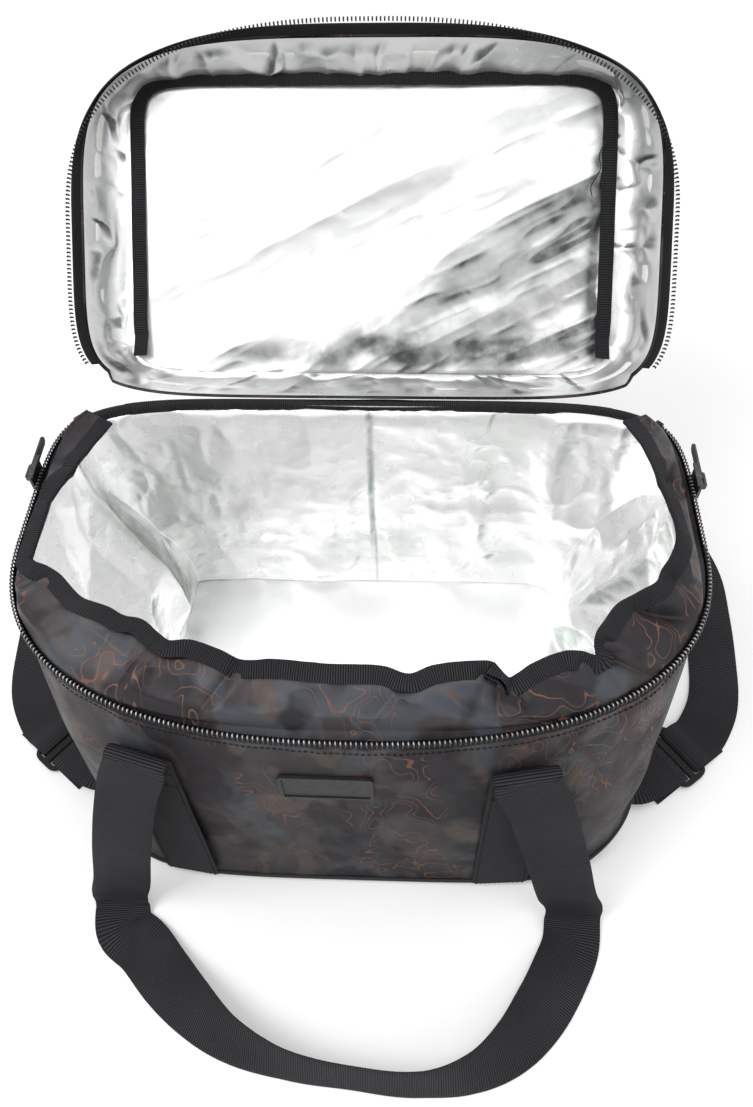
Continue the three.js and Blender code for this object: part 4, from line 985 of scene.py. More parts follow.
@dataclass(frozen=True)
class Foil(Finish):
    """Silver foil bonded to a fine weave, with small creases between the folds of the mesh, and painted shade
    where the mesh marks it.
    """

    bright: Colour = (0.985, 0.985, 0.985)
    dull: Colour = (0.95, 0.96, 0.95)
    shadow: Colour = (0.30, 0.33, 0.31)
    metallic: float = 0.8
    crease: float = 0.8
    crease_size: float = 0.032
    weave: float = 0.1

    def make(self, nodes: Nodes, shader: bpy.types.Node) -> None:
        """Bright metal with painted shade: the shadow colour where the attribute "folded" marks it, under a fine
        weave and small sharp creases.

        Args:
            nodes: the material's nodes.
            shader: its Principled BSDF.
        """
        where = self.object_coordinates(nodes)
        weave = Effect.WEAVE.place(nodes, self.lengths(nodes), 0.0016)
        tone = nodes.ramp(nodes.noise(where, 9.0, 3.0), 0.42, 0.7)
        # Painted shade: the marked places go towards the shadow colour, broken up by the weave and by noise.
        folded = nodes.add("Attribute", attribute_name="folded").outputs["Fac"]
        streaks = nodes.ramp(nodes.noise(where, 45.0, 3.0, 0.55), 0.34, 0.62, 0.45, 0.9)
        share = nodes.times(folded, nodes.times(weave, 0.3, streaks))
        silver = nodes.blend(tone, self.bright, self.dull)
        colour = nodes.blend(nodes.math("MINIMUM", share, 1.0), silver, self.shadow)
        nodes.feed(shader.inputs["Base Color"], colour)
        self.patchy(nodes, shader, nodes.noise(where, 35.0, 3.0), 0.06, 0.08)
        creases = Effect.CREASES.place(nodes, where, self.crease_size, 1.0)
        self.relief(nodes, shader, nodes.times(weave, self.weave, creases), self.crease, 0.8)


@dataclass(frozen=True)
class Glossed(Finish):
    """Black glossy coil with painted highlights: paler where the attribute "crown" is high, at the crowns that face
    the light.
    """

    colour: Colour = (0.004, 0.004, 0.005)
    pale: Colour = (0.85, 0.85, 0.87)
    specular: float = 0.35

    def make(self, nodes: Nodes, shader: bpy.types.Node) -> None:
        """The painted highlight is broken up by noise, so that some teeth shine more than others.

        Args:
            nodes: the material's nodes.
            shader: its Principled BSDF.
        """
        where = self.object_coordinates(nodes)
        crown = nodes.add("Attribute", attribute_name="crown").outputs["Fac"]
        uneven = nodes.ramp(nodes.noise(where, 24.0, 4.0, 0.7), 0.35, 0.6, 0.25, 1.0)
        colour = nodes.blend(nodes.times(crown, uneven), self.colour, self.pale)
        nodes.feed(shader.inputs["Base Color"], colour)
        self.relief(nodes, shader, nodes.noise(where, 3000.0, 2.0), 0.03, 0.4)


@dataclass(frozen=True)
class Moulded(Finish):
    """Moulded plastic, rubber, board or metal: one colour with fine grain and paler scuffs."""

    colour: Colour = (0.02, 0.02, 0.022)
    scuff: Colour = (0.09, 0.09, 0.095)
    grain: float = 0.0006
    depth: float = 0.04
    specular: float = 0.3

    def make(self, nodes: Nodes, shader: bpy.types.Node) -> None:
        """Fine grain in the normal, and scuffs where two noises are both high.

        Args:
            nodes: the material's nodes.
            shader: its Principled BSDF.
        """
        where = self.object_coordinates(nodes)
        scuffs = nodes.ramp(nodes.noise(where, 240.0, 4.0, 0.65), 0.52, 0.72, 0.0, 0.6)
        nodes.feed(shader.inputs["Base Color"], nodes.blend(scuffs, self.colour, self.scuff))
        rough = nodes.ramp(scuffs, 0.0, 0.6, self.roughness, min(1.0, self.roughness + 0.18))
        nodes.feed(shader.inputs["Roughness"], rough)
        self.relief(nodes, shader, nodes.noise(where, 1 / self.grain, 2.0), self.depth, 0.5)


CLOTH = MottledCloth("mottled_cloth", 0.5)
COLLAR_CLOTH = MottledCloth("collar_cloth", 0.42, specular=0.26)
BASE_CLOTH = PlainCloth("plain_cloth", 0.7)
WEBBING = Ribbed("webbing", 0.72)
BINDING = Ribbed("binding_tape", 0.7, colour=(0.014, 0.0135, 0.016), pitch=0.0013, depth=0.5, contrast=3.0)
SEAM_TAPE = Ribbed("seam_tape", 0.72, colour=(0.012, 0.012, 0.014), pitch=0.0017, contrast=1.8)
ZIP_TAPE = PlainCloth("zip_tape", 0.7, colour=(0.012, 0.012, 0.013), pitch=0.0007, specular=0.12)
# LID_FOIL is the same foil made darker, with a darker shadow colour: painted shade that holds down the stronger
# light on the lid.
FOIL = Foil("foil", 0.25)
FLOOR_FOIL = Foil("floor_foil", 0.42, crease=0.15, crease_size=0.09)
LID_FOIL = Foil(
    "lid_foil", 0.32, bright=(0.70, 0.705, 0.70), dull=(0.62, 0.63, 0.63), shadow=(0.05, 0.055, 0.055), crease=0.5
)
FOAM = Moulded("foam", 0.9, colour=(0.75, 0.75, 0.72), scuff=(0.6, 0.6, 0.57), grain=0.0016, depth=0.3)
BOARD = Moulded("board", 0.7, colour=(0.05, 0.05, 0.05), scuff=(0.09, 0.09, 0.09))
TEETH = Glossed("zip_teeth", 0.3)
LID_TEETH = Glossed("lid_teeth", 0.4, pale=(0.06, 0.06, 0.065))
METAL = Moulded("zip_metal", 0.36, colour=(0.07, 0.07, 0.075), scuff=(0.2, 0.2, 0.2), metallic=0.9, depth=0.02)
PLASTIC = Moulded("buckle_plastic", 0.5, colour=(0.009, 0.009, 0.010), scuff=(0.02, 0.02, 0.022), specular=0.15)
RUBBER = Moulded("patch_rubber", 0.45, colour=(0.010, 0.010, 0.011), scuff=(0.03, 0.03, 0.03), grain=0.0011)
THREAD = Moulded("thread", 0.7, colour=(0.012, 0.012, 0.014), scuff=(0.05, 0.045, 0.04), specular=0.15)


# Pieces of the bag


@dataclass(frozen=True)
class Bend:
    """Where a piece bends between two bodies, and where its bend starts and ends. The piece keeps its baked place
    and is set on neither body.
    """

    first: str
    second: str
    start: Array
    end: Array


@dataclass
class Assembly:
    """A group of pieces that are built together. A piece is dressed and set on its body."""

    @staticmethod
    def keep(piece: Object, finish: Finish, slot: str, body: str | Bend, *stands_for: str) -> Object:
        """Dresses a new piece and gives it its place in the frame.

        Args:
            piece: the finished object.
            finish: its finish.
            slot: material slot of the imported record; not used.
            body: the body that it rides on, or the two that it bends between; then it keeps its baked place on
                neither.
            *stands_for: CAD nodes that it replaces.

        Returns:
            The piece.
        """
        Assembly.paint(piece, finish)
        if isinstance(body, Bend):
            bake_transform(piece)
        else:
            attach(piece, body)
        if stands_for:
            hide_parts(*stands_for)
        log.info("%s: %d faces, on %s", piece.name, len(piece.data.polygons), body)
        return piece

    @staticmethod
    def paint(piece: Object, finish: Finish) -> None:
        """Makes a finish the only material of a piece."""
        piece.data.materials.clear()
        piece.data.materials.append(finish.material())

    @staticmethod
    def dress(frame: dict, finish: Finish, *nodes: str) -> None:
        """Gives CAD nodes that keep their own mesh a better material."""
        for name in nodes:
            Assembly.paint(frame["nodes"][name], finish)
            log.info("%s: keeps its mesh, in %s", name, finish.name)


@dataclass
class Body(Assembly):
    """The outer cloth: a front panel that wraps the sides, a back panel, and the plain tray of the base."""

    panel_top: float = 213.0
    back_top: float = 218.0
    low_rim: float = 5.0
    corner_rim: float = 28.0
    rim_start: float = 0.75
    cloth: float = 1.2
    tuck: float = 1.6
    cord_radius: float = 1.4
    stitch_height: float = 205.5
    stitch_pitch: float = 3.4
    patch: tuple[float, float, float, float] = (-42.0, 14.0, 145.0, 177.0)

    def rim(self, share: Array) -> Array:
        """Height of the tray's edge: low in front and behind, rising towards the sides by a smooth step."""
        across = np.abs(FORM.body(share, np.zeros_like(share))[..., 0]) / FORM.base.half_width
        return mix(self.low_rim, self.corner_rim, eased(across, self.rim_start, 1.0))

    def dent(self, points: Array) -> Array:
        """How far the cloth lies outside its plain form: broad soft hollows, and puckers under the zip.

        Args:
            points: places on the plain form.

        Returns:
            Distances, mostly inwards, that fade out under the patch.
        """
        x, z = points[..., 0], points[..., 2]
        broad = 1.5 * noise(points / np.array([70, 70, 48]), 3) + 0.8 * noise(points / np.array([24, 24, 40]), 4)
        sides = eased(np.abs(x), 150, 200)
        broad += sides * (2.2 * noise(points / np.array([60, 46, 42]), 6) - 1.2)
        pucker = 0.5 * noise(points / np.array([7, 7, 60]), 8) * eased(z, 186, 210)
        left, right, low, high = self.patch
        clear = eased(x, left - 18, left) * eased(-x, -right - 18, -right)
        clear = clear * eased(z, low - 14, low) * eased(-z, -high - 14, -high) * (points[..., 1] < 0)
        return np.clip(broad - 0.9 + pucker, -2.8, 0.7) * (1 - clear)

    def panel(self, name: str, start: float, end: float, counts: tuple[int, int]) -> Object:
        """A cloth panel between two shares, from the tray's rim to the zip or hinge, dented by the dent function.

        Args:
            name: the object's name.
            start: share of its right end.
            end: share of its other end.
            counts: points along it and up it.

        Returns:
            The panel as a thick sheet.
        """
        share = np.linspace(start, end, counts[0])[:, None]
        t = np.linspace(0, 1, counts[1])[None]
        top = mix(self.panel_top, self.back_top, behind_zip(share))
        z = mix(self.rim(share) + 0.2, top, t)
        out = self.dent(FORM.body(share, z)) * eased(t, 0, 0.06) * eased(1 - t, 0, 0.03)
        return thickened(surface(name, FORM.body(share, z, out)), self.cloth)

    def tray(self) -> Object:
        """The base: a flat bottom on the disc grid joined to a wall that rises to the rim, as one sheet.

        Returns:
            The piece, at the origin.
        """
        share = all_round(480)
        t = np.linspace(0, 1, 9)[None]
        wall = FORM.body(share, self.rim(share) * t, -self.tuck * (1 - t) ** 4)
        bottom = wall[:, :1] * np.linspace(0, 1, 10)[None, :-1, None]
        grid = np.concatenate([bottom, wall], 1)
        return thickened(welded(surface("base_tray", grid, (True, False))), self.cloth)

    def cord(self) -> Object:
        """Piping round the rim: a circle carried along the rim line.

        Returns:
            The piece, at the origin.
        """
        share = all_round(480)
        rim = self.rim(share)
        centre = FORM.body(share, rim, 0.5)
        outward = unit(FORM.body(share, rim, 1.5) - centre)
        turns = np.linspace(0, 2 * math.pi, 8, endpoint=False)[:, None]
        circle = outward * np.cos(turns) + UP * np.sin(turns)
        return surface("base_cord", centre + self.cord_radius * circle, (True, True), flip=True)

    def seam_stitches(self) -> Object:
        """A row of stitches round the front and sides, a little below the zip.

        Returns:
            The piece, at the origin.
        """
        share = round_front(ZIP_END, 900)
        line = FORM.body(share, self.stitch_height, self.dent(FORM.body(share, self.stitch_height)) + 0.15)
        places, along = evenly(line, self.stitch_pitch)
        return beads("zip_stitches", places, along, np.tile(UP, (len(places), 1)), 2.6, 0.35)

    def build(self) -> None:
        """Builds the outer cloth."""
        front = self.panel("front_cloth", 2 - SEAM, 4 + SEAM, (620, 76))
        self.keep(front, CLOTH, "camouflage_cloth", "root", "front_panel")
        back = self.panel("back_cloth", SEAM, 2 - SEAM, (300, 76))
        self.keep(back, CLOTH, "camouflage_cloth", "root", "back_panel")
        self.keep(self.tray(), BASE_CLOTH, "plain_cloth", "root", "base_panel")
        self.keep(self.cord(), BASE_CLOTH, "plain_cloth", "root", "base_piping")
        self.keep(self.seam_stitches(), THREAD, "webbing", "root")


@dataclass
class Mouth(Assembly):
    """The collar round the mouth with its binding, the binding along the hinge, and the body's half of the zip."""

    edge_stations: tuple[tuple[float, float, float], ...] = (
        (-158, 112, 224), (-169, 78, 229), (-182, 36, 234), (-189, -4, 236), (-187, -27, 235), (-176, -33, 236),
        (-168, -38, 236), (-151, -54, 237), (-134, -61, 238), (-125, -66, 238), (-114, -69, 239), (-103, -78, 240),
        (-96, -83, 241), (-85, -83, 242), (-68, -88, 241), (-61, -92, 242), (-56, -93, 239.5), (-38, -93, 241),
        (-11, -95, 241), (18, -95, 240), (29, -98, 238.5), (34, -98, 238), (45, -94, 240), (69, -91, 240),
        (76, -92, 240), (80, -96, 237.5), (84, -98, 235), (89, -96, 236.5), (95, -92, 238), (111, -85, 240),
        (122, -84, 240), (130, -86, 240), (130, -80, 241), (131, -74, 242), (137, -65, 242), (143, -57, 243),
        (156, -48, 243), (167, -41, 243), (171, -33, 243), (177, -24, 243), (183, -8, 243), (181, 16, 243),
        (173, 64, 239), (158, 112, 226),
    )
    pleats: tuple[tuple[float, float, float, float, float], ...] = (
        (-103, -78, 3.5, 6, 10), (-57, -92, 4.5, 5, -6), (32, -98, 4, 9, -34), (84, -99, 6, 6, -20),
        (130, -84, 6.5, 6, 14), (145, -56, 5, 7, 22), (170, -36, 4.5, 6, 10), (-176, -33, 5, 8, 8),
        (-186, 40, 5, 9, -20), (180, 30, 4.5, 9, 16),
    )
    rise_depth: float = 2.1
    foot_height: float = 212.5
    foot_share: float = 0.15
    binding: float = 10.5
    hinge_tape_height: float = 218.6

    def edge(self, share: Array) -> Array:
        """The collar's upper edge: a spline through listed stations, looked up by the share of its direction.

        Args:
            share: shares from the collar's left end, 2 - end, to its right end, 4 + end.

        Returns:
            Points with a small wave added, for each share.
        """
        places, _ = spline(np.array(self.edge_stations), 24)
        shares = FORM.share_of(places)
        shares = np.where(shares < 1, shares + 4, shares)
        order = np.argsort(shares)
        line = stack(*(np.interp(share, shares[order], places[order, axis]) for axis in range(3)))
        line[..., 2] += 0.6 * noise(line / 13, 21) + 0.4 * noise(line / 6, 22)
        return line

    def collar(self, share: Array, t: Array, inward: float = 0.0) -> Array:
        """The collar's cloth: up inside the zip, then over to the edge in an arch with folds.

        The foot climbs the wall. From there w runs from 0 to 1, straight from the zip to the edge and lifted by
        sin(pi w^0.75)^0.9, with folds of stretched noise and valleys of exp(-distance) that run down from the pleats
        in the edge. Nothing comes nearer to the closed lid's side than the room left for its tape and foil.

        Args:
            share: shares along it.
            t: 0 at its foot and 1 at its edge.
            inward: distance inside the cloth's face.

        Returns:
            Points of the cloth.
        """
        share, t = np.broadcast_arrays(share, t)
        w = np.clip((t - self.foot_share) / (1 - self.foot_share), 0, 1)
        climb = np.clip(t / self.foot_share, 0, 1)
        foot = FORM.body(share, mix(self.foot_height, FORM.mouth_height, climb), -self.rise_depth)
        edge = self.edge(share)
        over = mix(foot, edge, w[..., None])
        out = unit(FORM.body(share, foot[..., 2], 10) - FORM.body(share, foot[..., 2], 0))
        lift = np.sin(math.pi * w**0.75) ** 0.9
        along = share * SHARE_LENGTH
        folds = noise(stack(along / 52, w * 1.3 + along / 120, 0 * w), 31)
        folds = 4.0 * folds + 2.6 * (1 - 2 * np.abs(noise(stack(along / 30 + w, w * 2.2, 0 * w), 32)))
        folds = folds + 0.7 * noise(stack(along / 8, w * 2.5, 0 * w), 33)
        swell = (4.5 + folds) * lift
        for x, y, depth, breadth, lean in self.pleats:
            place = FORM.share_of(np.array([x, y, 0.0]))
            away = along - SHARE_LENGTH * (place + 4 * (place < 1)) - lean * (1 - w)
            swell = swell - depth * np.exp(-np.abs(away) / (0.75 * breadth)) * 2.4 * w**0.9 * (1 - w) ** 0.6
            swell = swell + 0.5 * depth * np.exp(-(((away - 1.5 * breadth) / breadth) ** 2)) * lift
        normal = unit(out * 0.62 + UP * 0.78)
        above = (w > 0)[..., None]
        points = over + np.where(above, normal * (swell - inward)[..., None], -out * inward)
        z = points[..., 2]
        room = 3.0 + inward + 4.2 * eased(z, 228, 236) + 3.0 * eased(w, 0.75, 1.0)
        limit = FORM.lid(FORM.share_of(points), z, -room)
        ratio = np.linalg.norm(limit[..., :2], axis=-1) / np.linalg.norm(points[..., :2], axis=-1)
        points[..., :2] *= np.where(above, np.minimum(ratio, 1.0)[..., None], 1.0)
        return points

    def cloth(self) -> Object:
        """The collar as a sheet."""
        share = round_front(COLLAR_END, 700)[:, None]
        t = np.linspace(0, 0.985, 46)[None]
        return thickened(surface("collar_cloth", self.collar(share, t)), 1.0)

    def edge_frame(self, share: Array) -> tuple[Array, Array, Array]:
        """The edge's points, the direction up the cloth there, and the cloth's outward normal.

        Args:
            share: shares along the collar.

        Returns:
            Points, directions up and directions outwards.
        """
        edge = self.collar(share, np.ones_like(share))
        below = self.collar(share, np.full_like(share, 0.72))
        along = unit(np.gradient(edge, axis=0))
        up = unit(edge - below)
        up = unit(up - along * np.sum(up * along, -1, keepdims=True))
        return edge, up, np.cross(along, up)

    def edge_tape(self) -> Object:
        """The binding: a folded tape, an upside-down U carried along the edge.

        Returns:
            The piece, at the origin.
        """
        share = round_front(COLLAR_END, 760)
        edge, up, out = self.edge_frame(share)
        deep = -self.binding + 1
        outer = [(deep, 1.3), (-5, 1.5), (-1, 1.4), (0.5, 1.0), (0.9, 0), (0.5, -1.0), (-1, -1.4), (-5, -1.9)]
        inner = [(deep, -1.1), (-5, -1.1), (-0.6, -0.7), (0, 0), (-0.6, 0.7), (-5, 0.8), (deep, 0.6)]
        profile = np.array([*outer, (deep, -1.9), *inner])
        wave = 1 + 0.12 * noise(edge / 9, 25)[:, None, None]
        loops = edge[:, None] + up[:, None] * profile[None, :, :1] + out[:, None] * profile[None, :, 1:] * wave
        return tube("collar_tape", loops)

    def hinge_tape(self) -> Object:
        """The binding over the hinge edge: an upside-down U along the back, sagging in its middle as a bell curve.

        Returns:
            The piece, at the origin.
        """
        share = np.linspace(COLLAR_END - 0.03, 2 - COLLAR_END + 0.03, 420)
        centre = FORM.body(share, self.hinge_tape_height, -1.9)
        out = unit(FORM.body(share, self.hinge_tape_height, 5) - FORM.body(share, self.hinge_tape_height, -5))
        sag = 3.2 * np.exp(-(((centre[:, 0] - 6) / 46) ** 2)) + 0.8 * (noise(centre / 21, 27) + 1)
        depth = self.binding + 1.2 * sag
        # Each row: whether it hangs as low as the tape, how far out it is, and otherwise its height
        outside = [(0, 1.0, 1.2), (0, 2.0, 0.6), (0, 2.2, -0.4), (0, 2.2, -6), (0, 1.3, -6), (0, 1.2, -0.9)]
        inside = [(0, -1.0, -1.1), (1, -2.4, 0), (1, -3.2, 0), (0, -3.2, -0.6), (0, -2.2, 0.7), (0, -1.0, 1.2)]
        profile = np.array(outside + inside)[None]
        drop = np.where(profile[..., 0] > 0, depth[:, None], -profile[..., 2]) + 0.35 * sag[:, None]
        return tube("hinge_tape", centre[:, None] + out[:, None] * profile[..., 1:2] - UP * drop[..., None])

    def zip_tape(self) -> Object:
        """The body's zip tape: a narrow upright sheet that follows the mouth."""
        share = round_front(ZIP_END + 0.02, 700)[:, None]
        return thickened(surface("body_tape", FORM.body(share, np.linspace(212.2, 218.7, 5), -0.15)), 0.8)

    def build(self) -> None:
        """Builds the mouth."""
        self.keep(self.cloth(), COLLAR_CLOTH, "camouflage_cloth", "root", "collar")
        self.keep(self.edge_tape(), BINDING, "binding_tape", "root", "collar_binding")
        self.keep(self.hinge_tape(), BINDING, "binding_tape", "root", "back_binding")
        self.keep(self.zip_tape(), ZIP_TAPE, "zip_tape", "root", "body_zip_tape")
        teeth = coil("body_teeth", zip_line(FORM.mouth, FORM.mouth_height), 218.4, 1, 2.4)
        self.keep(teeth, TEETH, "zip_teeth", "root", "body_zip_chain")


COIL_PITCH = 2.7
COIL_RADIUS = 0.62


def coil(name: str, line: Array, base: float, upward: int, reach: float, opened: bool = False) -> Object:
    """A zip's teeth: each is a short loop of thick thread over the tape's edge, a half ellipse with a round section.

    Args:
        name: the object's name.
        line: points along the zip at the closed lid's place.
        base: height of the tape's edge.
        upward: 1 for the body's teeth, which stand up, and -1 for the lid's.
        reach: height of the half ellipse.
        opened: whether the teeth turn back with the lid.

    Returns:
        The new object.
    """
    places, along = evenly(line, COIL_PITCH)
    outward = unit(stack(along[:, 1], -along[:, 0], 0.0))
    turn = np.linspace(-0.2, math.pi + 0.2, 6)
    out = 0.2 + (1.15 if upward > 0 else 0.9) * np.cos(turn)
    rise = reach * np.sin(turn) - 1.2
    middle = places[:, None] + outward[:, None] * out[None, :, None]
    middle[..., 2] = base + upward * (rise + 0.7)[None]
    ring = np.linspace(0, 2 * math.pi, ROD_TURNS, endpoint=False)
    spread = unit(stack(np.cos(turn), 0.0, np.sin(turn)))
    radial = outward[:, None] * spread[None, :, :1] + np.array([0, 0, upward]) * spread[None, :, 2:]
    section = radial[:, :, None] * np.cos(ring)[:, None] + along[:, None, None] * np.sin(ring)[:, None]
    points = middle[:, :, None] + COIL_RADIUS * section
    if opened:
        points = FORM.opened(points)
    ends = np.array([[0, 5, 4, 1], [1, 4, 3, 2], [30, 31, 34, 35], [31, 32, 33, 34]])
    obj = rods(name, points, ends, flip=upward > 0)
    # Painted highlight: "crown" marks the top of each tooth's bend, on its outer side, which the finish paints pale.
    crown = eased(np.sin(turn + 0.25), 0.75, 1.0)[:, None] * eased(np.cos(ring), 0.4, 1.0)
    return marked(obj, "crown", np.broadcast_to(crown, points.shape[:3]))


@dataclass
class Liner(Assembly):
    """The foil inside: crumpled walls and a flatter floor, with foam sheets behind them."""

    mouth: Mouth = field(default_factory=Mouth)
    depth: float = 8.6
    floor: float = 10.5
    wall_top: float = 211.0
    wall_share: float = 0.86
    seam_x: float = 3.0
    bulges: tuple[tuple[float, float, float, float, float], ...] = ((-1, 19, 62, 10, 22), (1, 14, 46, -24, 26))

    def walls(self) -> Object:
        """The foil walls: up from the floor at the foam's depth, then under the collar to its edge.

        The wall is moved inwards by crumple, with a bulge at each side of exp(-distance) from a slanting line, most
        at mid height, and a sewn seam down its back. Each bulge has its side, height, y, slant and breadth.
        Painted shade marks the folds' slopes, the left bulge's back, the seam, the low back wall and the foot.

        Returns:
            The piece, at the origin.
        """
        share, t = np.broadcast_arrays(all_round(720), np.linspace(0, 1, 132))
        above = (t - self.wall_share) / (1 - self.wall_share)
        low = FORM.body(share, mix(self.floor, self.wall_top, t / self.wall_share), -self.depth)
        collared = np.clip(np.where(share < 1, share + 4, share), 2 - COLLAR_END, 4 + COLLAR_END)
        under = self.mouth.collar(collared, np.clip(above, 0, 1) * 0.8 + 0.17, 2.2)
        straight = FORM.body(share, mix(self.wall_top, 218.0, above), -4.6)
        behind = eased(1 - COLLAR_END - np.abs(share - 1), -0.02, 0.03)
        high = mix(under, straight, behind[..., None])
        points = mix(low, high, eased(t, 0.82, 0.92)[..., None])
        inward = unit(FORM.body(share, points[..., 2], -10) - FORM.body(share, points[..., 2], 0))
        free = (0.45 + 0.55 * eased(t, 0.0, 0.1)) * (1 - eased(t, self.wall_share, 0.985))
        x, y = points[..., 0], points[..., 1]
        limit = 151 + 46 * eased(-y, -70, 50) + 46 * eased(t, 0.06, 0.8)
        points[..., 0] -= np.sign(x) * 0.94 * np.maximum(np.abs(x) - limit, 0)
        rough = 4.5 + 5.5 * eased(np.abs(x), 110, 175)
        flat = points * np.array([1, 1, 0.6])
        folds = crumple(flat, 90, 51, 2) * rough + 2.6 * crumple(flat, 32, 57, 3)
        for side, height, middle, slant, breadth in self.bulges:
            away = np.abs(y - middle - slant * (t - 0.4)) / breadth
            folds = folds + height * np.exp(-away - ((t - 0.42) / 0.36) ** 2) * (x * side > 0)
        back = y > 60
        seam = -1.2 * np.exp(-(((x - self.seam_x) / 1.6) ** 2)) * back
        move = np.maximum(folds + seam, -1.2) * free
        walls = surface("foil_walls", points + inward * move[..., None], (True, False), flip=True)
        # Painted shade: behind the left bulge, in the seam's groove, low on the back wall, and a dark line at the
        # wall's foot by the floor.
        bulge_shade = eased(y, 58, 64) * (1 - eased(y, 78, 104)) * (x < -90) * eased(t, 0.05, 0.25)
        bulge_shade *= 0.8 * (1 - eased(t, 0.5, 0.8))
        seam_shade = 0.6 * np.exp(-(((x - self.seam_x) / 0.9) ** 2)) * back * (t < self.wall_share)
        low_shade = 0.34 * back * eased(t, 0.08, 0.16) * (1 - eased(t, 0.2, 0.5))
        low_shade *= eased(noise(points / np.array([60, 60, 34]), 58), -0.1, 0.5)
        return shaded(walls, move, (1.7, 1.7), bulge_shade + seam_shade + low_shade + (t < 0.006))

    def bottom(self) -> Object:
        """The foil floor: the disc grid with low wrinkles that fade out at its edge, and painted shade on their
        slopes and towards its left end.

        Returns:
            The piece, at the origin.
        """
        values = drawn_in(FORM.body_values(np.array(self.floor)), self.depth - 1)
        points = disc(values, (260, 170))
        points[..., 2] = self.floor
        edge = np.max(np.abs(points[..., :2]) / values[:2], -1)
        wrinkle = (0.8 * crumple(points, 120, 61, 2) + 0.3) * (1 - eased(edge, 0.85, 1.0))
        points[..., 2] += wrinkle
        # Painted shade: the foil floor darker towards its left end.
        end = 0.5 * (1 - eased(points[..., 0] + 8 * noise(points / 25, 62), -168, -112))
        return shaded(surface("foil_floor", points), wrinkle, (1.4, 1.5), end)

    def foam(self, name: str, low: float, high: float, depth: float, thickness: float, lid: bool) -> Object:
        """A ring of foam: an upright closed loop round the body or the lid, a rounded slab in section.

        Args:
            name: the object's name.
            low: height of its lower edge.
            high: height of its upper edge.
            depth: distance of its middle inside the wall.
            thickness: its thickness.
            lid: whether it goes round the lid.

        Returns:
            The new object.
        """
        side, up = band_profile(high - low, thickness)
        form = FORM.lid if lid else FORM.body
        points = form(all_round(240), (low + high) / 2 + side, up - depth)
        return surface(name, FORM.opened(points) if lid else points, (True, True), flip=True)

    def slab(self, name: str, values: Array, low: float, high: float, crown: float, lid: bool) -> Object:
        """A flat foam sheet: the disc grid thickened, with a low dome of crown height.

        Args:
            name: the object's name.
            values: its outline's five numbers.
            low: height of its underside.
            high: height of its upper face.
            crown: how far its middle stands up.
            lid: whether it turns back with the lid.

        Returns:
            The new object.
        """
        points = disc(values, (61, 41))
        reach = np.max(np.abs(points[..., :2]) / values[:2], -1)
        points[..., 2] = high + crown * (1 - reach**2)
        return thickened(surface(name, FORM.opened(points) if lid else points), high - low)

    def build(self) -> None:
        """Builds the lining and the foam behind it."""
        self.keep(self.walls(), FOIL, "foil", "root", "liner_wall")
        self.keep(self.bottom(), FLOOR_FOIL, "foil", "root", "liner_floor")
        nodes = ("foam_front", "foam_back", "foam_left", "foam_right")
        wall = self.foam("wall_foam", 12, 209, 5.9, 2.2, False)
        self.keep(wall, FOAM, "foam", "root", *nodes)
        values = drawn_in(FORM.body_values(np.array(8.0)), 10)
        slab = self.slab("floor_foam", values, 4.4, 9.0, 0.0, False)
        self.keep(slab, FOAM, "foam", "root", "base_foam")


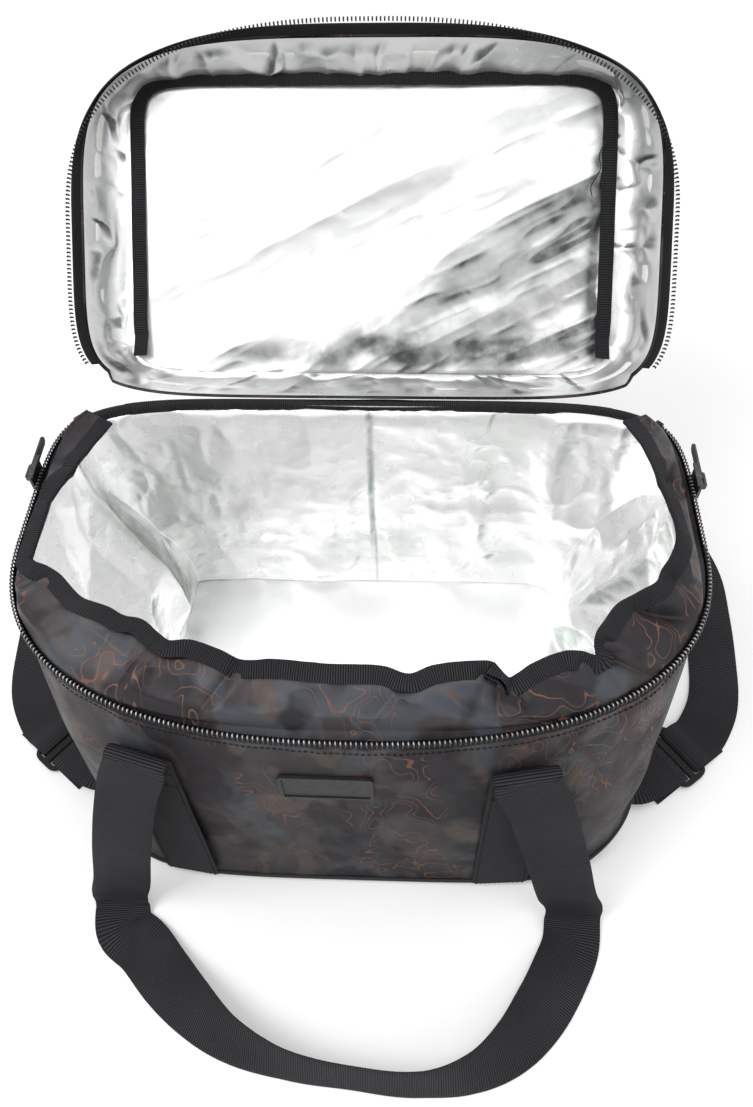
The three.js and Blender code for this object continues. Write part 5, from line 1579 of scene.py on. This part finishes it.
@dataclass
class Lid(Assembly):
    """The lid folded back: outer cloth over foam, a foil band and panel inside, seam tape, and half of the zip."""

    panel: Outline = Outline(170, 107, 99, 12, 12)
    panel_height: float = 257.5
    tape_low: float = 224.6
    tape_high: float = 233.0
    top_height: float = 264.0
    strip: float = 10.5
    strip_end: float = 0.3

    def low(self, share: Array) -> Array:
        """Lower edge of the side band: at the zip tape, and down to the hinge line behind the zip."""
        return mix(self.tape_high - 0.6, 220.2, behind_zip(share))

    def outer(self) -> Object:
        """The outer cloth: up the side, over a rounded edge and across the top to a pole in the middle.

        Returns:
            The piece, at the origin.
        """
        share = all_round(640)
        t = np.linspace(0, 1, 26)[None]
        z = mix(self.low(share), self.top_height, t)
        side = FORM.lid(share, z)
        side_out = unit(FORM.lid(share, z, 5) - side)
        dent = 1.3 * noise(side / np.array([40, 40, 26]), 71) + 0.4 * noise(side / 13, 72) - 0.6
        side = side + side_out * (np.clip(dent, -1.5, 0.7) * eased(t, 0, 0.15))[..., None]
        reach = np.linspace(1, 0, 40)[None, 1:]
        top = side[:, -1:] * reach[..., None] * np.array([1, 1, 0])
        top[..., 2] = self.top_height + 2.2 * np.clip((1 - reach) / 0.02, 0, 1) + 5 * (1 - reach**2)
        top[..., 2] += (1.0 * noise(top / 60, 73) + 0.4 * noise(top / 22, 74)) * eased(1 - reach, 0, 0.2)
        grid = FORM.opened(np.concatenate([side, top], 1))
        return thickened(welded(surface("lid_cloth", grid, (True, False))), 1.2)

    def foil_band(self) -> Object:
        """The foil inside the lid's side: from the tape up the side, then over to the panel's edge, with ripples,
        and painted shade on their slopes and near the panel.

        Returns:
            The piece, at the origin.
        """
        share = all_round(900)
        t = np.linspace(0, 1, 46)[None]
        climb = np.clip(t / 0.7, 0, 1)
        low = self.low(share) + 0.4
        z = mix(low, self.panel_height, 1 - (1 - climb) ** 1.6)
        side = FORM.lid(share, z, -(2.4 - 0.5 * behind_zip(share) + 3.5 * climb**0.6))
        edge = outline_point(self.panel.values(), FORM.angle(share), self.panel_height)
        points = mix(side, edge, eased(t, 0.35, 1.0)[..., None])
        inward = unit(points * np.array([-1, -1, 0]))
        along = share * SHARE_LENGTH
        ripple = 3.2 * crumple(stack(along, 30 * t + along / 7, 0.0), 26, 81, 2) + 1.2 * crumple(points, 30, 83, 2)
        ripple = np.maximum(ripple + 1.4, 0) * eased(t, 0, 0.2) * eased(1 - t, 0, 0.1)
        band = surface("lid_foil_band", FORM.opened(points + inward * ripple[..., None]), (True, False), flip=True)
        # Painted shade on the ripples' slopes, and more near the panel's edge.
        return shaded(band, ripple, (1.1, 1.6), 0.5 * eased(t, 0.75, 1.0))

    def foil_panel(self) -> Object:
        """The foil panel: the disc grid, lightly domed, smooth to the left and wrinkled towards the lower right,
        with painted shade on the wrinkles, in a band beyond a slanting line, in a streak and along the right edge.

        Returns:
            The piece, at the origin.
        """
        points = disc(self.panel.values(), (320, 200))
        x, y = points[..., 0], points[..., 1]
        reach = np.max(np.abs(points[..., :2]) / np.array([self.panel.half_width, 104]), -1)
        # The wrinkled side lies beyond a slanting line, and its folds are drawn out along another
        away = 0.58 * (x + 60) + 0.81 * (y - 70) + 14 * noise(points / 45, 93)
        uneven = 0.5 + 0.9 * eased(away, -50, 60)
        drawn = stack(0.4 * (0.9 * x - 0.45 * y), 1.15 * (0.45 * x + 0.9 * y), 0.0)
        wrinkle = uneven * (4.6 * crumple(drawn, 105, 97, 2) + 1.5 * crumple(drawn, 38, 92, 3))
        rise = 3.5 * (1 - reach**2)
        points[..., 2] = self.panel_height + (rise - wrinkle) * (1 - eased(reach, 0.93, 1.0))
        # Painted shade: a broad grey band beyond the slanting line, a dark streak towards the hinge and a dark line
        # along the right edge.
        painted_shade_band = 0.55 * eased(away, -5, 50) * (1 - eased(away, 105, 135))
        painted_shade_streak = 0.75 * np.exp(-(((y - 84 - 7 * noise(points / 40, 94)) / 8) ** 2)) * eased(x, -160, -60)
        side = 0.55 * np.exp(-(((x - 158 - 3 * noise(points / 20, 96)) / 5) ** 2))
        panel = surface("lid_foil_panel", FORM.opened(points), flip=True)
        return shaded(panel, -wrinkle, (1.1, 1.05), painted_shade_band + painted_shade_streak + side)

    def seam_tape(self) -> Object:
        """The tape over the panel's seam: a flat strip on three sides, along the panel's edge.

        Returns:
            The piece, at the origin.
        """
        share = round_front(self.strip_end, 700)
        outer = outline_point(self.panel.values(), FORM.angle(share), self.panel_height - 0.9)
        values = drawn_in(self.panel.values(), self.strip)
        middle = (outer + outline_point(values, FORM.angle(share), self.panel_height - 2.2)) / 2
        across = unit(middle - outer)
        middle[:, 2] += 0.5 * noise(middle / 15, 95)
        beyond = np.linspace(15, 1.5, 10)[:, None] * np.array([0, 1, -0.3])
        middle = np.vstack([middle[0] + beyond, middle, middle[-1] + beyond[::-1]])
        across = np.vstack([np.tile(across[0], (10, 1)), across, np.tile(across[-1], (10, 1))])
        opened = FORM.opened(middle)
        turned = FORM.opened(middle + across) - opened
        return tube("lid_seam_tape", band_loops(opened, unit(np.gradient(opened, axis=0)), turned, self.strip, 1.1))

    def loose_thread(self) -> Object:
        """A loose end of thread that hangs from the seam tape over the panel.

        Returns:
            The piece, at the origin.
        """
        places = [(168, -70, 253.6), (164, -62, 252.6), (157, -50, 253.2), (158, -40, 252.4), (152, -28, 253)]
        closed = np.array([*places, (153, -22, 253.4)])
        opened = FORM.opened(closed)
        across = FORM.opened(closed + np.array([1.0, 0, 0])) - opened
        return webbing("lid_loose_thread", opened, across, 8, 0.7, 0.5)

    def tape(self) -> Object:
        """The lid's zip tape: a narrow sheet round the rim."""
        share = round_front(ZIP_END + 0.01, 700)[:, None]
        z = np.linspace(self.tape_low, self.tape_high + 0.4, 6)
        return thickened(surface("lid_tape", FORM.opened(FORM.lid(share, z, -0.3))), 0.9)

    def build(self, liner: Liner) -> None:
        """Builds the lid; the liner gives the shapes of its foam.

        Args:
            liner: makes the foam sheets.
        """
        self.keep(self.outer(), CLOTH, "camouflage_cloth", "lid", "lid_side_band", "lid_top_panel")
        self.keep(self.foil_band(), LID_FOIL, "foil", "lid", "lid_liner_band")
        self.keep(self.foil_panel(), LID_FOIL, "foil", "lid", "lid_liner_top")
        self.keep(self.seam_tape(), SEAM_TAPE, "binding_tape", "lid", "lid_seam_binding")
        self.keep(self.loose_thread(), THREAD, "binding_tape", "lid")
        self.keep(self.tape(), ZIP_TAPE, "zip_tape", "lid", "lid_zip_tape")
        teeth = coil("lid_teeth", zip_line(FORM.lid_rim, 0.0), self.tape_low + 0.2, -1, 1.7, True)
        self.keep(teeth, LID_TEETH, "zip_teeth", "lid", "lid_zip_chain")
        band = liner.foam("lid_band_foam", 241, 255, 3.2, 2.4, True)
        liner.keep(band, FOAM, "foam", "lid", "lid_foam_band")
        slab = liner.slab("lid_top_foam", drawn_in(self.panel.values(), 4), 262.2, 264.6, 4.0, True)
        liner.keep(slab, FOAM, "foam", "lid", "lid_foam_top")


def side_name(side: int) -> str:
    """The word for a side: left for -1 and right for 1."""
    return "left" if side < 0 else "right"


@dataclass
class Handle(Assembly):
    """One handle: webbing sewn up the panel, folded over, hung to the floor and laid out there in a loop.

    It is one band in three pieces that meet halfway down the legs: two bend at their folds and one at the knees.
    """

    name: str = "front_handle"
    side: int = -1
    folds: tuple[float, float] = (-119.0, 97.0)
    fold_height: float = 181.6
    knee_middle: float = -9.5
    knee_half: float = 155.5
    reach: float = 108.0
    rows: tuple[tuple[float, float, float], ...] = ()
    width: float = 38.0
    thick: float = 1.6
    strip_rest: float = 1.7
    sewn_half: float = 16.5
    arch: float = 4.2
    knee: tuple[float, float] = (160.4, 5.6)
    shin: tuple[float, float] = (156.3, 16.5)
    knee_bend: tuple[tuple[float, float], ...] = ((150.0, 18.0), (172.0, -4.0))
    strip_stations: int = 12
    fold_stations: int = 6
    steps: int = 8

    def out(self, x: float, z: Array | float) -> Array:
        """The panel's outward direction at a place."""
        return unit(FORM.face(x, z, 10.0, self.side) - FORM.face(x, z, 0.0, self.side))

    def half(self, end: int) -> tuple[Array, Array]:
        """Stations from a strip's foot over its fold and down the leg to the knee.

        The strip lies on the panel, the fold is a half circle outwards from its top, and the leg hangs in a shallow
        bulge from there to the knee.

        Args:
            end: -1 for the left half and 1 for the right.

        Returns:
            The stations, and the directions across the webbing there.
        """
        x, knee_x = self.folds[(end + 1) // 2], self.knee_middle + end * self.knee_half
        heights = np.linspace(6.3, self.fold_height - self.arch, self.strip_stations)
        strip = FORM.face(x, heights, self.strip_rest, self.side)
        strip_across = -self.side * end * np.cross(UP, self.out(x, heights))
        turn = np.linspace(0, math.pi, self.fold_stations + 1)[1:, None]
        fold = strip[-1] + self.arch * ((1 - np.cos(turn)) * self.out(x, heights[-1]) + np.sin(turn) * UP)
        t = np.array([0.12, 0.24, 0.5, 0.78])
        bulge = np.interp(t, (0, 0.24, 0.5, 0.78), (0, 3.5, 4, 1))
        y = self.side * (mix(abs(fold[-1, 1]), self.knee[0], t) + bulge)
        leg = stack(mix(fold[-1, 0], knee_x, t**0.8), y, mix(fold[-1, 2], self.knee[1], t))
        foot = np.array([(knee_x, self.side * y, z) for y, z in (self.shin, self.knee)])
        hang = mix(strip_across[-1], np.array([end, 0.0, 0.0]), np.append(t, (1, 1))[:, None])
        stations = np.vstack([strip, fold, leg, foot])
        return stations, np.vstack([strip_across, np.tile(strip_across[-1], (self.fold_stations, 1)), unit(hang)])

    def lying(self) -> tuple[Array, Array]:
        """Stations of the loop on the floor, through listed rows of place and lean, and directions across.

        Returns:
            The stations, and the directions across the webbing.
        """
        across_floor, outwards, lean = np.array(self.rows).T
        x = self.knee_middle + across_floor * self.knee_half
        y = self.knee[0] + outwards * self.reach
        lean = np.radians(lean)
        along = unit(stack(np.gradient(x), np.gradient(y), 0.0))
        tilt = np.cos(lean)
        rest = self.width / 2 * np.sin(lean) + self.thick / 2 * tilt + 0.9
        across = stack(-along[:, 1] * tilt, self.side * along[:, 0] * tilt, -np.sin(lean))
        return stack(x, self.side * y, rest)[1:-1], across[1:-1]

    def sewing(self, end: int) -> Object:
        """Stitches that hold a strip: two rows up its edges and three across it, on its outer face.

        Args:
            end: -1 for the left strip and 1 for the right.

        Returns:
            The stitches.
        """
        stations, across = (part[: self.strip_stations] for part in self.half(end))
        face = stations + self.out(self.folds[(end + 1) // 2], stations[:, 2]) * (self.thick / 2 + 0.1)
        lines = [face[:-1] + across[:-1] * edge for edge in (-self.sewn_half, self.sewn_half)]
        row_places = np.linspace(0.5 - self.sewn_half, self.sewn_half - 0.5, 40)[:, None]
        for row in (0, -3, -2):
            lines.append(face[row] + across[row] * row_places)
        parts = [evenly(line, 3.2) for line in lines]
        places, along = (np.concatenate([part[k] for part in parts]) for k in (0, 1))
        square = unit(np.cross(along, stack(0.0, np.full(len(along), float(self.side)), 0.0)))
        return beads(f"{self.name}_stitches_{side_name(end)}", places, along, square, 2.4, 0.3)

    def build(self) -> None:
        """Builds the handle."""
        (left, left_across), (right, right_across) = self.half(-1), self.half(1)
        loop, loop_across = self.lying()
        places, along = spline(np.vstack([left, loop, right[::-1]]), self.steps)
        edges, _ = spline(np.vstack([left_across, loop_across, right_across[::-1]]), self.steps)
        loops = band_loops(places, along, edges, self.width, self.thick)
        cut = self.steps * (len(left) - 4)
        strip_top, fold_end = self.strip_stations - 1, self.strip_stations - 1 + self.fold_stations
        legs = f"{self.name}_legs"
        for end, part, half in ((-1, loops[: cut + 1], left), (1, loops[-cut - 1 :], right)):
            side = side_name(end)
            piece = tube(f"{self.name}_webbing_{side}", part)
            away = unit(half[fold_end] - half[strip_top] + 0.8 * UP)
            bend = Bend("root", legs, half[strip_top] + 0.8 * away, half[strip_top] + 7.6 * away)
            self.keep(piece, WEBBING, "webbing", bend, f"{self.name}_strip_{side}", f"{self.name}_leg_{side}")
            self.keep(self.sewing(end), THREAD, "webbing", "root")
        ends = [np.array([0.0, self.side * y, z]) for y, z in self.knee_bend]
        loop_piece = tube(f"{self.name}_webbing_loop", loops[cut:-cut])
        self.keep(loop_piece, WEBBING, "webbing", Bend(legs, f"{self.name}_grip", *ends), f"{self.name}_grip")


FRONT_GRIP = (
    (-1.0, 0.0, 0), (-0.981, 0.126, 0), (-0.878, 0.237, 3), (-0.756, 0.413, 12), (-0.615, 0.588, 30),
    (-0.44, 0.755, 52), (-0.209, 0.875, 70), (0.061, 0.931, 76), (0.35, 0.95, 74), (0.55, 0.876, 60),
    (0.711, 0.728, 38), (0.839, 0.524, 16), (0.935, 0.302, 4), (0.987, 0.144, 0), (1.0, 0.0, 0),
)
BACK_GRIP_HALF = (
    (-1, 0, 0), (-1, 0.133, 0), (-0.953, 0.29, 3), (-0.84, 0.506, 12), (-0.687, 0.702, 30), (-0.487, 0.869, 52),
    (-0.253, 0.967, 70),
)
BACK_GRIP = (*BACK_GRIP_HALF, (0, 0.996, 74), *((-x, y, lean) for x, y, lean in reversed(BACK_GRIP_HALF)))


@dataclass
class ShoulderStrap(Assembly):
    """The shoulder strap on the floor behind the bag, its loops through the slide buckles, and the tabs."""

    width: float = 38.0
    thick: float = 1.6
    buckle: tuple[float, float] = (233.0, -39.6)
    turn: float = math.radians(38)
    bar: float = 11.0
    low: float = 2.6
    high: float = 6.6
    clearance: float = 1.15
    floor_gap: float = 1.1
    tab_y: float = -60.0
    reach: tuple[float, float] = (281.0, 321.0)
    rows: tuple[tuple[float, float, float], ...] = (
        (0.954, -0.003, 1.1), (0.975, 0.053, 0.55), (0.989, 0.14, 0), (1, 0.28, 0), (1, 0.399, 0),
        (0.961, 0.514, 0), (0.868, 0.654, 0), (0.73, 0.794, 0), (0.534, 0.91, 0), (0.285, 0.978, 0), (0, 1, 0),
    )

    def loop(self, end: int) -> tuple[Array, Array]:
        """The webbing's way round one end bar of the right buckle: over it, down the slot and back beneath.

        Args:
            end: 1 for the bar away from the bag and -1 for the near one.

        Returns:
            Stations, and directions across the webbing there.
        """
        edge, inside, corner = self.bar - 2.25, self.bar - 6.0, 0.813
        over, under = self.high + self.clearance, self.low - self.clearance
        rows = [
            (self.bar + 3, over), (edge + 0.3, over), (edge - corner, self.high + corner),
            (inside, self.high - 0.3), (inside, self.low + 0.3), (edge - corner, self.low - corner),
            (edge + 0.3, under), (self.bar + 3, under), (self.bar + 24, self.floor_gap),
        ]
        c, s = math.cos(self.turn), math.sin(self.turn)
        away, z = np.array(rows).T
        places = stack(self.buckle[0] + end * away * c, self.buckle[1] + end * away * s, z)
        return places, np.tile([-s, c, 0.0], (len(rows), 1))

    def strap(self) -> Object:
        """The strap: the webbing's profile along a spline from the right loop, behind the bag, to the left one.

        Returns:
            The piece, at the origin.
        """
        loop, loop_across = self.loop(1)
        c, s = math.cos(self.turn), math.sin(self.turn)
        lead = (self.buckle[0] + 27 * c, self.buckle[1] + 27 * s, 3.3)
        route = np.array(self.rows) * (*self.reach, self.thick) + (0, 0, self.floor_gap)
        step = np.vstack([route[1] - route[0], route[2:] - route[:-2], route[-1] - route[-2]])
        step[-1, 1] = 0
        step /= np.hypot(step[:, :1], step[:, 1:2])
        right = np.vstack([loop[::-1], lead, route])
        right_across = np.vstack([loop_across, loop_across[:1], stack(-step[:, 1], step[:, 0], 0.0)])
        mirror = np.array([-1, 1, 1])
        whole, sides = (np.vstack([half, (half[:-1] * mirror)[::-1]]) for half in (right, right_across))
        return webbing("strap_webbing", whole, sides, 10, self.width, self.thick)

    def tab(self, side: int) -> Object:
        """A tab: out of the side seam, over the buckle's near bar, and back beneath itself.

        Args:
            side: 1 for the right tab and -1 for the left.

        Returns:
            The tab.
        """
        height = self.high + self.clearance + 1
        wall = self.wall_x(height) + 0.3
        places, across = self.loop(-1)
        places = np.vstack([(wall, self.tab_y, height), (wall + 6.7, self.tab_y, height), places])
        across = np.vstack([(0, 1, 0), (0, 1, 0), across])
        mirror = np.array([side, 1, 1])
        name = f"tab_webbing_{side_name(side)}"
        return webbing(name, places * mirror, across * mirror, 10, self.width, self.thick)

    def wall_x(self, z: float) -> float:
        """The widest x of the body's side under the tab."""
        width, front, _, n, _ = FORM.body_values(np.array(z))
        y = self.tab_y + self.width / 2 * np.array([-1, 0, 1])
        return float(np.max(width * (1 - (np.abs(y) / front) ** n) ** (1 / n)))

    def build(self) -> None:
        """Builds the strap and tabs."""
        self.keep(self.strap(), WEBBING, "webbing", "root", "shoulder_strap")
        self.keep(self.tab(1), WEBBING, "webbing", "root", "strap_tab_right")
        self.keep(self.tab(-1), WEBBING, "webbing", "root", "strap_tab_left")


@dataclass
class HingeBand(Assembly):
    """The strip of tape outside the back panel, over the seam under the hinge line."""

    half_length: float = 165.0
    low: float = 194.3
    high: float = 218.2

    def build(self) -> None:
        """Builds the band: the tape's profile stood on edge and carried along the back."""
        x = np.linspace(self.half_length, -self.half_length, 200)[:, None]
        side, up = band_profile(self.high - self.low, 1.0)
        loops = FORM.face(x, (self.low + self.high) / 2 + side, 1.0 + up, 1)
        self.keep(tube("hinge_webbing", loops, flip=True), SEAM_TAPE, "binding_tape", "root", "hinge_band")


# Studio


@dataclass
class Studio:
    """The floor, lamps, world and camera."""

    camera_place: tuple[float, float, float] = (33.21, -320.20, 657.45)
    forward: tuple[float, float, float] = (-0.04013, 0.58005, -0.81359)
    right: tuple[float, float, float] = (0.99907, 0.03603, -0.02359)
    up: tuple[float, float, float] = (-0.01563, 0.81378, 0.58096)
    lens: float = 29.41
    floor_half: float = 4.0
    floor_colour: float = 0.86
    world_light: float = 0.62
    aim: tuple[float, float, float] = (0, 0.05, 0.15)
    lamps: tuple[tuple[str, tuple[float, float, float], float, float], ...] = (
        ("key", (-1.1, -0.5, 1.9), 1.1, 22),
        ("top", (0.4, 0.2, 2.3), 1.5, 18),
        ("fill", (1.6, -1.0, 1.2), 1.2, 5),
    )

    def camera(self) -> None:
        """The camera at the photograph's place and lens."""
        data = bpy.data.cameras.new("camera")
        data.lens, data.sensor_width, data.sensor_fit = self.lens, 36.0, "AUTO"
        data.clip_start, data.clip_end = 0.01, 50.0
        camera = bpy.data.objects.new("camera", data)
        bpy.context.scene.collection.objects.link(camera)
        turn = np.array([self.right, self.up, -np.array(self.forward)]).T
        matrix = Matrix(turn.tolist()).to_4x4()
        matrix.translation = [part * MM for part in self.camera_place]
        camera.matrix_world = matrix
        bpy.context.scene.camera = camera

    def floor(self) -> None:
        """A plain pale floor that keeps the shadow, lifted to white for what the camera sees directly."""
        corners = np.array([[-1, -1, 0], [1, -1, 0], [1, 1, 0], [-1, 1, 0]])
        floor = mesh_object("floor", self.floor_half * corners / MM, np.array([[0, 1, 2, 3]]))
        made = bpy.data.materials.new("floor")
        made.use_nodes = True
        nodes = Nodes(made.node_tree)
        made.node_tree.nodes.clear()
        diffuse = nodes.add("BsdfDiffuse", {"Color": (self.floor_colour,) * 3})
        seen = self.seen_directly(nodes)
        glow = nodes.add("Emission", {"Color": (1.0, 1.0, 1.0), "Strength": nodes.times(seen, 0.16)})
        both = nodes.add("AddShader", {0: diffuse.outputs[0], 1: glow.outputs[0]})
        nodes.add("OutputMaterial", {"Surface": both.outputs[0]}, is_active_output=True)
        floor.data.materials.append(made)

    @staticmethod
    def seen_directly(nodes: Nodes) -> Socket:
        """1 for camera, glossy and transmission rays, and 0 for the light on the object."""
        path = nodes.add("LightPath")
        seen = nodes.math("MAXIMUM", path.outputs["Is Camera Ray"], path.outputs["Is Glossy Ray"])
        return nodes.math("MAXIMUM", seen, path.outputs["Is Transmission Ray"])

    def world(self) -> None:
        """Soft even light, with a white backdrop for the camera and for reflections."""
        world = bpy.data.worlds.new("studio")
        bpy.context.scene.world = world
        world.use_nodes = True
        nodes = Nodes(world.node_tree)
        background = world.node_tree.nodes["Background"]
        background.inputs["Color"].default_value = (1, 1, 1, 1)
        strength = nodes.ramp(self.seen_directly(nodes), 0.0, 1.0, self.world_light, 1.0)
        nodes.feed(background.inputs["Strength"], strength)

    def lamp(self, name: str, place: tuple[float, float, float], size: float, power: float) -> None:
        """A square soft lamp aimed at the bag's middle.

        Args:
            name: the lamp's name.
            place: its place in metres.
            size: its edge in metres.
            power: its power in watts.
        """
        data = bpy.data.lights.new(name, "AREA")
        data.shape, data.size, data.energy = "SQUARE", size, power
        lamp = bpy.data.objects.new(name, data)
        bpy.context.scene.collection.objects.link(lamp)
        lamp.location = place
        lamp.rotation_mode = "QUATERNION"
        lamp.rotation_quaternion = (Vector(self.aim) - lamp.location).to_track_quat("-Z", "Y")

    def build(self) -> None:
        """Builds the studio."""
        bpy.context.scene.view_settings.view_transform = "Standard"
        self.camera()
        self.floor()
        self.world()
        for lamp in self.lamps:
            self.lamp(*lamp)


# CAD nodes that keep their own mesh, by their finish
KEPT_NODES = {
    RUBBER: ("front_patch",),
    PLASTIC: ("strap_buckle_left", "strap_buckle_right"),
    METAL: ("zip_slider_left", "zip_slider_right", "zip_pull_left", "zip_pull_right"),
    TEETH: ("zip_stop_left", "zip_stop_right"),
    BOARD: ("base_board",),
}
FRONT_HANDLE = Handle(rows=FRONT_GRIP)
BACK_HANDLE = Handle("back_handle", 1, (-108.0, 108.0), 168.0, 0.0, 150.0, 102.0, BACK_GRIP)


def main() -> None:
    """Loads the frame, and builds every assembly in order."""
    logging.basicConfig(level=logging.INFO, format="%(name)s: %(message)s")
    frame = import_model()
    bpy.context.view_layer.update()
    Studio().build()
    Body().build()
    mouth = Mouth()
    mouth.build()
    liner = Liner(mouth)
    liner.build()
    Lid().build(liner)
    FRONT_HANDLE.build()
    BACK_HANDLE.build()
    ShoulderStrap().build()
    HingeBand().build()
    for finish, nodes in KEPT_NODES.items():
        Assembly.dress(frame, finish, *nodes)
    bpy.context.view_layer.update()


if __name__ == "__main__":
    main()
